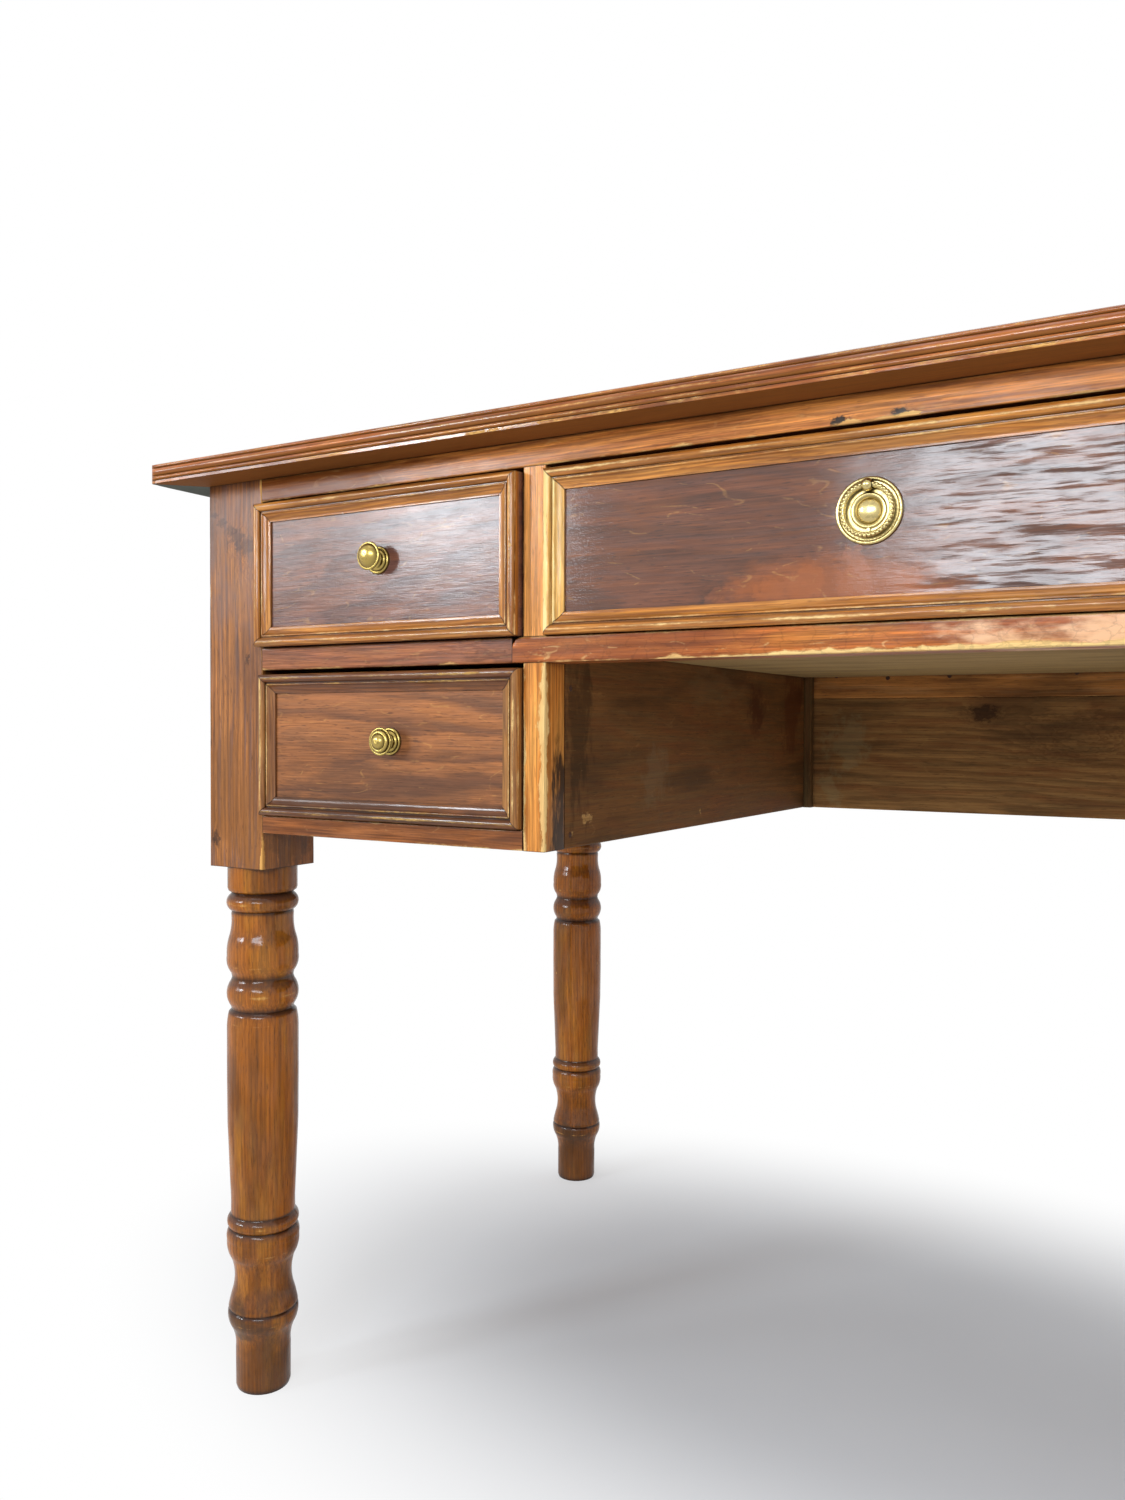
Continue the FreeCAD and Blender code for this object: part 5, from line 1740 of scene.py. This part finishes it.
@dataclass
class Drawers:
    """All five drawers, each with the figure of its own veneer."""

    def build(self) -> None:
        """Builds them in order."""
        # The centre drawer's left strip, rubbed back to pale wood
        raw = replace(GOLDEN, name="rubbed_moulding_pine", grain=Axis.Z, early="#f4b85c",
                      late="#c2863a", grey="#d8a866", stain="#b88046", glow="#f6cc80",
                      bare="#fbdc98", coat=0.3, crevice_grime_and_shade=0.6)
        # Wide bands of warm and dark veneer: a dark one low down, and a warm one above it
        dusk = (Spot((-370.0, VENEER_HEART, 505.0), 34.0, 130.0, 0.0, 0.55, "#543626"),
                Spot((-360.0, VENEER_HEART, 545.0), 12.0, 60.0, -0.5, 0.0),
                Spot((-370.0, VENEER_HEART, 588.0), 16.0, 130.0, 0.0, 0.5, "#b06c3e"))
        banded = replace(VENEER, name="banded_veneer", early="#9e6238", late="#623c28",
                         grey="#735038", stain="#4e3020", glow="#a46434", ring_mm=22.0, lean=0.03,
                         pith_mm=(-310.0, 640.0), warp_mm=42.0, ring_depth=0.7, ring_stray=0.12,
                         stained=0.2, greyed=0.25, fibre=0.3, coat=0.3, knots=dusk)
        # Veneer under the thickest gloss of all, which ripples towards its right, with a row of
        # soft flames along its lower edge
        flames = tuple(Spot((x, VENEER_HEART, z), across, 13.0, 2.2, 0.3, "#a4561e") for x, z, across in (
            (-92.0, 634.0, 9.0), (-62.0, 638.0, 12.0), (-38.0, 644.0, 15.0), (-8.0, 648.0, 18.0),
            (22.0, 640.0, 13.0), (48.0, 634.0, 10.0)))
        warm = Spot((-22.0, VENEER_HEART, 638.0), 22.0, 76.0, 0.0, 0.55, "#a2541b")
        ripple = replace(VENEER, name="rippled_veneer", early="#6a3c25", late="#452819",
                         grey="#533932", stain="#38221a", glow="#84491f", knots=(warm, *flames),
                         stray_shares=1.3, ring_mm=11.0, lean=0.07, ripple_mm=1.7, glowing=0.4,
                         coat=1.0, coat_roughness=0.09, streaks=0.16)
        # Upright strips whose stain has worn to a dull brown
        worn = replace(GOLDEN, name="knocked_moulding_pine", grain=Axis.Z, early="#9c6630",
                       late="#6f431e", grey="#8a6038", bare="#e6bd7a")
        brown = replace(worn, name="brown_moulding_pine", early="#8a562c", late="#5f381c")
        looks = {
            Layout.UPPER_LEFT: DrawerLook(VENEER, GOLDEN),
            Layout.LOWER_LEFT: DrawerLook(banded, DARK, brown, worn, 0.4, 0.8),
            Layout.CENTRE: DrawerLook(ripple, GOLDEN, raw, None, 0.0, 3.2),
            Layout.UPPER_RIGHT: DrawerLook(replace(VENEER, offset_mm=(40.0, 20.0, 60.0)), GOLDEN),
            Layout.LOWER_RIGHT: DrawerLook(replace(banded, offset_mm=(90.0, 20.0, 35.0)), DARK,
                                           brown, worn),
        }
        for layout, look in looks.items():
            Drawer(layout, look).build()


@dataclass
class Fittings:
    """Brass knobs, the ring pull with its rope edging, and old nails.

    Args:
        shank_radius: of a knob's shank.
        nut_radius: of the nut behind the drawer front.
        nut_thick: its thickness.
        base_thick: of a knob's base, which stays flat on the drawer where the neck leans.
        knob_sides: how many points go round a knob.
        ring_radius: of the ring pull, to the middle of its wire.
        ring_sides: how many points go round it.
        wire_radius: of its wire.
        wire_sides: how many points go round the wire.
        bead_radius: of a bead of its rope edging.
        bead_out: how far a bead's middle lies outside the wire's.
        bead_up: how far it lies in front of it.
        beads: how many there are.
        bead_parts: how many points go round a bead, and from end to end.
        bead_tilt: how far a bead slants.
        bead_stretch: how many times as long as wide a bead is.
        nail_radius: of a nail's head.
        nail_height: how high it stands.
        nail_sides: how many points go round it.
        nail_top_share: how wide its flat top is, as a share of its width.
        back_nails_mm: where the nails of the back are, in X and Z.
        side_nails_mm: where those beside the kneehole are, in Z.
        side_nails_y: where they are in Y.
    """

    shank_radius: float = 2.0 * MM
    nut_radius: float = 4.0 * MM
    nut_thick: float = 3.0 * MM
    base_thick: float = 2.5 * MM
    knob_sides: int = 48
    ring_radius: float = 14.5 * MM
    ring_sides: int = 96
    wire_radius: float = 1.5 * MM
    wire_sides: int = 14
    bead_radius: float = 1.3 * MM
    bead_out: float = 0.55 * MM
    bead_up: float = 0.55 * MM
    beads: int = 38
    bead_parts: tuple[int, int] = (12, 8)
    bead_tilt: float = math.radians(38)
    bead_stretch: float = 1.35
    nail_radius: float = 2.2 * MM
    nail_height: float = 0.5 * MM
    nail_sides: int = 14
    nail_top_share: float = 0.7
    back_nails_mm: tuple[tuple[float, float], ...] = (
        (-190.0, 612.0), (-135.0, 609.0), (-72.0, 610.0), (48.0, 611.0), (118.0, 609.0),
        (181.0, 610.0))
    side_nails_mm: tuple[float, ...] = (479.5, 584.0)
    side_nails_y: float = -260.0 * MM

    def build(self) -> None:
        """Refinishes the brass, ropes the ring and drives the nails."""
        brass = Brass(side_tarnish_and_reflection=0.6).build()
        sheet = Brass("hand_polished_sheet_brass", bright="#cbb77c", roughness=0.26).build()
        for layout, node, cap, bent in (
            (Layout.UPPER_LEFT, "upper_left_knob", DOMED_CAP_SHARES, 0.2),
            (Layout.LOWER_LEFT, "lower_left_knob", STEPPED_CAP_SHARES, 0.0),
            (Layout.UPPER_RIGHT, "upper_right_knob", DOMED_CAP_SHARES, 0.0),
            (Layout.LOWER_RIGHT, "lower_right_knob", STEPPED_CAP_SHARES, 0.0),
        ):
            self.knob(layout, node, KNOB_STEP_SHARES + cap, bent, brass)
        repaint("ring_pull_plate", sheet)
        repaint("ring_pull_post", Brass("hand_polished_ball_brass", bright="#cbb77c",
                                        roughness=0.2, hollow_mm=0.8).build())
        self.ring(sheet)
        iron = Iron().build()
        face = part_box("back_boards")[0].y
        heads = [Vector((x * MM, face, z * MM)) for x, z in self.back_nails_mm]
        self.nails("back_nails", heads, (math.pi / 2, 0.0, 0.0), iron)
        for side, sign in (("left", -1), ("right", 1)):
            low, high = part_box(f"{side}_partition")
            x = low.x if sign > 0 else high.x
            heads = [Vector((x, self.side_nails_y, z * MM)) for z in self.side_nails_mm]
            self.nails(f"{side}_kneehole_nails", heads, (0.0, -sign * math.pi / 2, 0.0), iron)

    def knob(self, layout: Layout, node: str, step_shares: tuple, bent: float,
             brass: bpy.types.Material) -> None:
        """A turned knob, with its shank and the nut behind the drawer front.

        Args:
            layout: the drawer that it is on.
            node: the CAD node that it stands for.
            step_shares: its outline, as walk takes it.
            bent: how far its neck leans up for each step out.
            brass: its finish.
        """
        low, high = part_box(node)
        front_low, front_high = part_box(f"{layout.value}_front")
        face = front_low.y
        inside = face - front_high.y
        tail = face - high.y
        shank = [(self.shank_radius, tail), (self.shank_radius, inside - self.nut_thick),
                 (self.nut_radius, inside - self.nut_thick), (self.nut_radius, inside),
                 (self.shank_radius, inside), (self.shank_radius, 0.0)]
        outline = [OutlinePoint(*point) for point in shank]
        outline += walk(step_shares, (high.x - low.x) / 2, face - low.y, 10)
        middle = (low + high) / 2
        turned = Matrix.Translation((middle.x, face, middle.z)) @ Matrix.Rotation(math.pi / 2, 4, "X")
        piece = lathe(f"turned_{node}", outline, turned, self.knob_sides, 1.5 * MM)
        for vertex in piece.data.vertices:
            vertex.co.z += bent * max(0.0, face - self.base_thick - vertex.co.y)
        dress(piece, brass, layout.value, "brass", node)

    def ring(self, brass: bpy.types.Material) -> None:
        """A smooth wire ring with slanted beads round its outer half, like a rope.

        Args:
            brass: its finish.
        """
        g = Repeated("rope_edged_ring", ring_radius=self.ring_radius, wire_radius=self.wire_radius,
                     bead_radius=self.bead_radius, bead_out=self.bead_out, bead_up=self.bead_up,
                     beads=self.beads, bead_tilt=self.bead_tilt, bead_stretch=self.bead_stretch)
        given = g.given
        path = g.add(Node.CIRCLE, self.ring_sides, named={"Radius": given["ring_radius"]})
        section = g.add(Node.CIRCLE, self.wire_sides, named={"Radius": given["wire_radius"]})
        wire = g.add(Node.WIRE, path, section)
        step = g.add(Node.MATH, math.tau, given["beads"], operation="DIVIDE")
        turn = g.add(Node.MATH, g.add(Node.INDEX), step, **TIMES)
        reach = g.add(Node.MATH, given["ring_radius"], given["bead_out"], **PLUS)
        x = g.add(Node.MATH, g.add(Node.MATH, turn, operation="COSINE"), reach, **TIMES)
        y = g.add(Node.MATH, g.add(Node.MATH, turn, operation="SINE"), reach, **TIMES)
        points = g.add(Node.LINE, given["beads"])
        points = g.add(Node.PUT, points, None, g.add(Node.JOIN, x, y, given["bead_up"]))
        ball = g.add(Node.BALL, *self.bead_parts, given["bead_radius"])
        stretch = g.add(Node.JOIN, 1.0, given["bead_stretch"], 1.0)
        beads = g.add(Node.REPEAT, points, None, ball, None, None,
                      g.add(Node.JOIN, given["bead_tilt"], 0.0, turn), stretch)
        both = g.add(Node.GATHER, wire)
        g.tree.links.new(beads.outputs[0], both.inputs[0])
        smooth = g.add(Node.SMOOTH, g.add(Node.REALIZE, both))
        low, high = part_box("ring_pull_bail")
        piece = g.build(smooth, brass, [])
        piece.data.transform(Matrix.Rotation(math.pi / 2, 4, "X"))
        piece.data.transform(Matrix.Translation((low + high) / 2))
        dress(piece, None, "ring_bail", "brass", "ring_pull_bail")

    def nails(self, name: str, heads: list[Vector], turn: tuple[float, float, float],
              iron: bpy.types.Material) -> None:
        """Flat nail heads that stand a little proud of a board.

        Args:
            name: name of the piece.
            heads: where the nails are.
            turn: turns a head that faces up to face out of the board.
            iron: their finish.
        """
        g = Repeated(name, head_radius=self.nail_radius, head_height=self.nail_height)
        top = g.add(Node.MATH, g.given["head_radius"], self.nail_top_share, **TIMES)
        sizes = {"Radius Top": top, "Radius Bottom": g.given["head_radius"],
                 "Depth": g.given["head_height"]}
        head = g.add(Node.CONE, self.nail_sides, named=sizes)
        spots = g.add(Node.REPEAT, g.given["Shape"], None, head, None, None, turn)
        dress(g.build(spots, iron, heads), None, CARCASS, "")


@dataclass(frozen=True)
class Window:
    """A soft panel of light. Sizes are in metres.

    Args:
        name: name of the lamp.
        place: where it hangs.
        size: its width and height.
        radiance: its brightness, whatever its size.
        target: the point that it faces.
        tint: its colour.
    """

    name: str
    place: tuple[float, float, float]
    size: tuple[float, float]
    radiance: float
    target: tuple[float, float, float]
    tint: tuple[float, float, float] = (1.0, 1.0, 1.0)

    def build(self) -> None:
        """Hangs the light."""
        data = bpy.data.lights.new(self.name, "AREA")
        data.shape = "RECTANGLE"
        data.size, data.size_y = self.size
        data.color = self.tint
        data.energy = self.radiance * math.pi * self.size[0] * self.size[1]
        lamp = show(self.name, data)
        lamp.location = self.place
        aim = Vector(self.target) - Vector(self.place)
        lamp.rotation_euler = aim.to_track_quat("-Z", "Y").to_euler()


@dataclass
class Studio:
    """Pale floor, soft light and the camera at the photograph's place. Sizes are in metres.

    Args:
        camera_at: where the camera is.
        turned_left: how far it is turned from +Y, in degrees.
        tilted_up: how far it looks up, in degrees.
        rolled: how far it leans, in degrees.
        focal_px: its focal length in pixels of the photograph.
        frame_height_px: the photograph's height.
        sensor: its sensor's longer side, in millimetres.
        clip: the nearest and the farthest that it sees.
        ambient: level of the light from all round, where white is 1.
        floor_half: from the floor's middle to its sides.
        floor_tone: colour of the floor.
        shade_middle: middle of the part of the floor that isn't pure white.
        shade_reach: how far that part goes in X and Y.
        windows: the lamps.
    """

    camera_at: tuple[float, float, float] = (0.19412, -0.97178, 0.55713)
    turned_left: float = 30.761
    tilted_up: float = -1.178
    rolled: float = 0.209
    focal_px: float = 1157.055
    frame_height_px: float = 1500.0
    sensor: float = 36.0
    clip: tuple[float, float] = (0.02, 60.0)
    ambient: float = 0.4
    floor_half: float = 6.0
    floor_tone: str = "#e4e6ea"
    shade_middle: tuple[float, float] = (-0.1, 0.05)
    shade_reach: tuple[float, float] = (0.86, 0.5)
    windows: tuple[Window, ...] = (
        Window("window_beside", (-2.12, -2.78, 1.36), (0.5, 0.56), 34.0, (-0.3, -0.3, 0.65),
               (0.84, 0.93, 1.0)),
        Window("window_far", (-3.2, -2.78, 1.5), (0.7, 0.8), 9.0, (-0.5, -0.3, 0.7),
               (0.92, 0.96, 1.0)),
        Window("window_behind", (0.12, -1.55, 0.93), (0.95, 0.27), 15.0, (0.1, -0.3, 0.65),
               (0.84, 0.92, 1.0)),
        Window("ceiling", (0.1, -0.2, 4.5), (4.0, 4.0), 1.6, (0.0, 0.0, 0.6)),
    )

    def build(self) -> None:
        """Sets up everything that isn't the desk."""
        bpy.context.scene.view_settings.view_transform = "Standard"
        self.camera()
        self.world()
        self.floor()
        for window in self.windows:
            window.build()

    def camera(self) -> None:
        """Places the camera as the photograph was taken."""
        data = bpy.data.cameras.new("camera")
        data.sensor_width = self.sensor
        data.lens = self.focal_px / self.frame_height_px * self.sensor
        data.clip_start, data.clip_end = self.clip
        yaw, pitch, roll = (math.radians(a) for a in (self.turned_left, self.tilted_up, self.rolled))
        forward = Vector((-math.sin(yaw) * math.cos(pitch), math.cos(yaw) * math.cos(pitch),
                          math.sin(pitch)))
        level = Vector((math.cos(yaw), math.sin(yaw), 0))
        upward = level.cross(forward)
        right = level * math.cos(roll) + upward * math.sin(roll)
        up = upward * math.cos(roll) - level * math.sin(roll)
        pose = Matrix.Identity(4)
        for column, axis in enumerate((right, up, -forward, Vector(self.camera_at))):
            for row in range(3):
                pose[row][column] = axis[row]
        camera = show("camera", data)
        camera.matrix_world = pose
        bpy.context.scene.camera = camera

    def seen(self, tree: Tree) -> bpy.types.Node:
        """Tells what is seen from what only lights.

        Args:
            tree: the tree that asks.

        Returns:
            1 for a ray that comes from the camera, a mirror or glass, and 0 for plain light.
        """
        ray = tree.add(Node.RAY).outputs
        seen = tree.add(Node.MATH, ray["Is Camera Ray"], ray["Is Glossy Ray"], **LARGER)
        return tree.add(Node.MATH, seen, ray["Is Transmission Ray"], **LARGER)

    def world(self) -> None:
        """White where it is seen, mirrored or looked through, and dimmer as light."""
        world = bpy.data.worlds.new("studio")
        world.use_nodes = True
        tree = Tree(world.node_tree)
        level = tree.add(Node.RANGE, self.seen(tree), 0.0, 1.0, self.ambient, 1.0)
        tree.add(Node.SKY_OUTPUT, tree.add(Node.SKY, (1, 1, 1, 1), level))
        bpy.context.scene.world = world

    def floor(self) -> None:
        """A pale floor that keeps the desk's shadow and fades into the white background.

        It is matt paint, rolled on: even to the eye, with no gloss and broad faint clouds.
        """
        half = self.floor_half
        mesh = bpy.data.meshes.new("floor")
        corners = [(-half, -half, 0), (half, -half, 0), (half, half, 0), (-half, half, 0)]
        mesh.from_pydata(corners, [], [(0, 1, 2, 3)])
        floor = show("floor", mesh)
        f = Finish("pale_painted_floor")
        tone = f.add(Node.RANGE, f.flecks(300.0, 300.0), 0.3, 0.7, 0.97, 1.0, **SOFT)
        f.wire(Base_Color=f.add(Node.MIX, 1.0, linear(self.floor_tone), tone, **TINT),
               Roughness=0.9, Specular_IOR_Level=0.0)
        place = f.add(Node.VECTOR, f.place, [c / MM for c in (*self.shade_middle, 0)], **MINUS)
        place = f.add(Node.VECTOR, place, [MM / r for r in (*self.shade_reach, 1.0)], **TIMES)
        away = f.add(Node.VECTOR, place, **LENGTH)
        white = f.add(Node.RANGE, away, 0.3, 1.0, 0.0, 1.0, **SOFT)
        share = f.add(Node.MATH, white, self.seen(f), **TIMES)
        glow = f.add(Node.GLOW, (1, 1, 1, 1), 1.0)
        either = f.add(Node.EITHER, share, f.shader, glow)
        f.tree.links.new(either.outputs[0], f.output.inputs["Surface"])
        mesh.materials.append(f.material)
        floor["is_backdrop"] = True


def main() -> None:
    """Builds the desk and its studio."""
    logging.basicConfig(level=logging.INFO, format="%(name)s: %(message)s")
    Studio().build()
    for part in (Tabletop(), FrontFrame(), Carcass(), Drawers(), Fittings()):
        part.build()


if __name__ == "__main__":
    main()
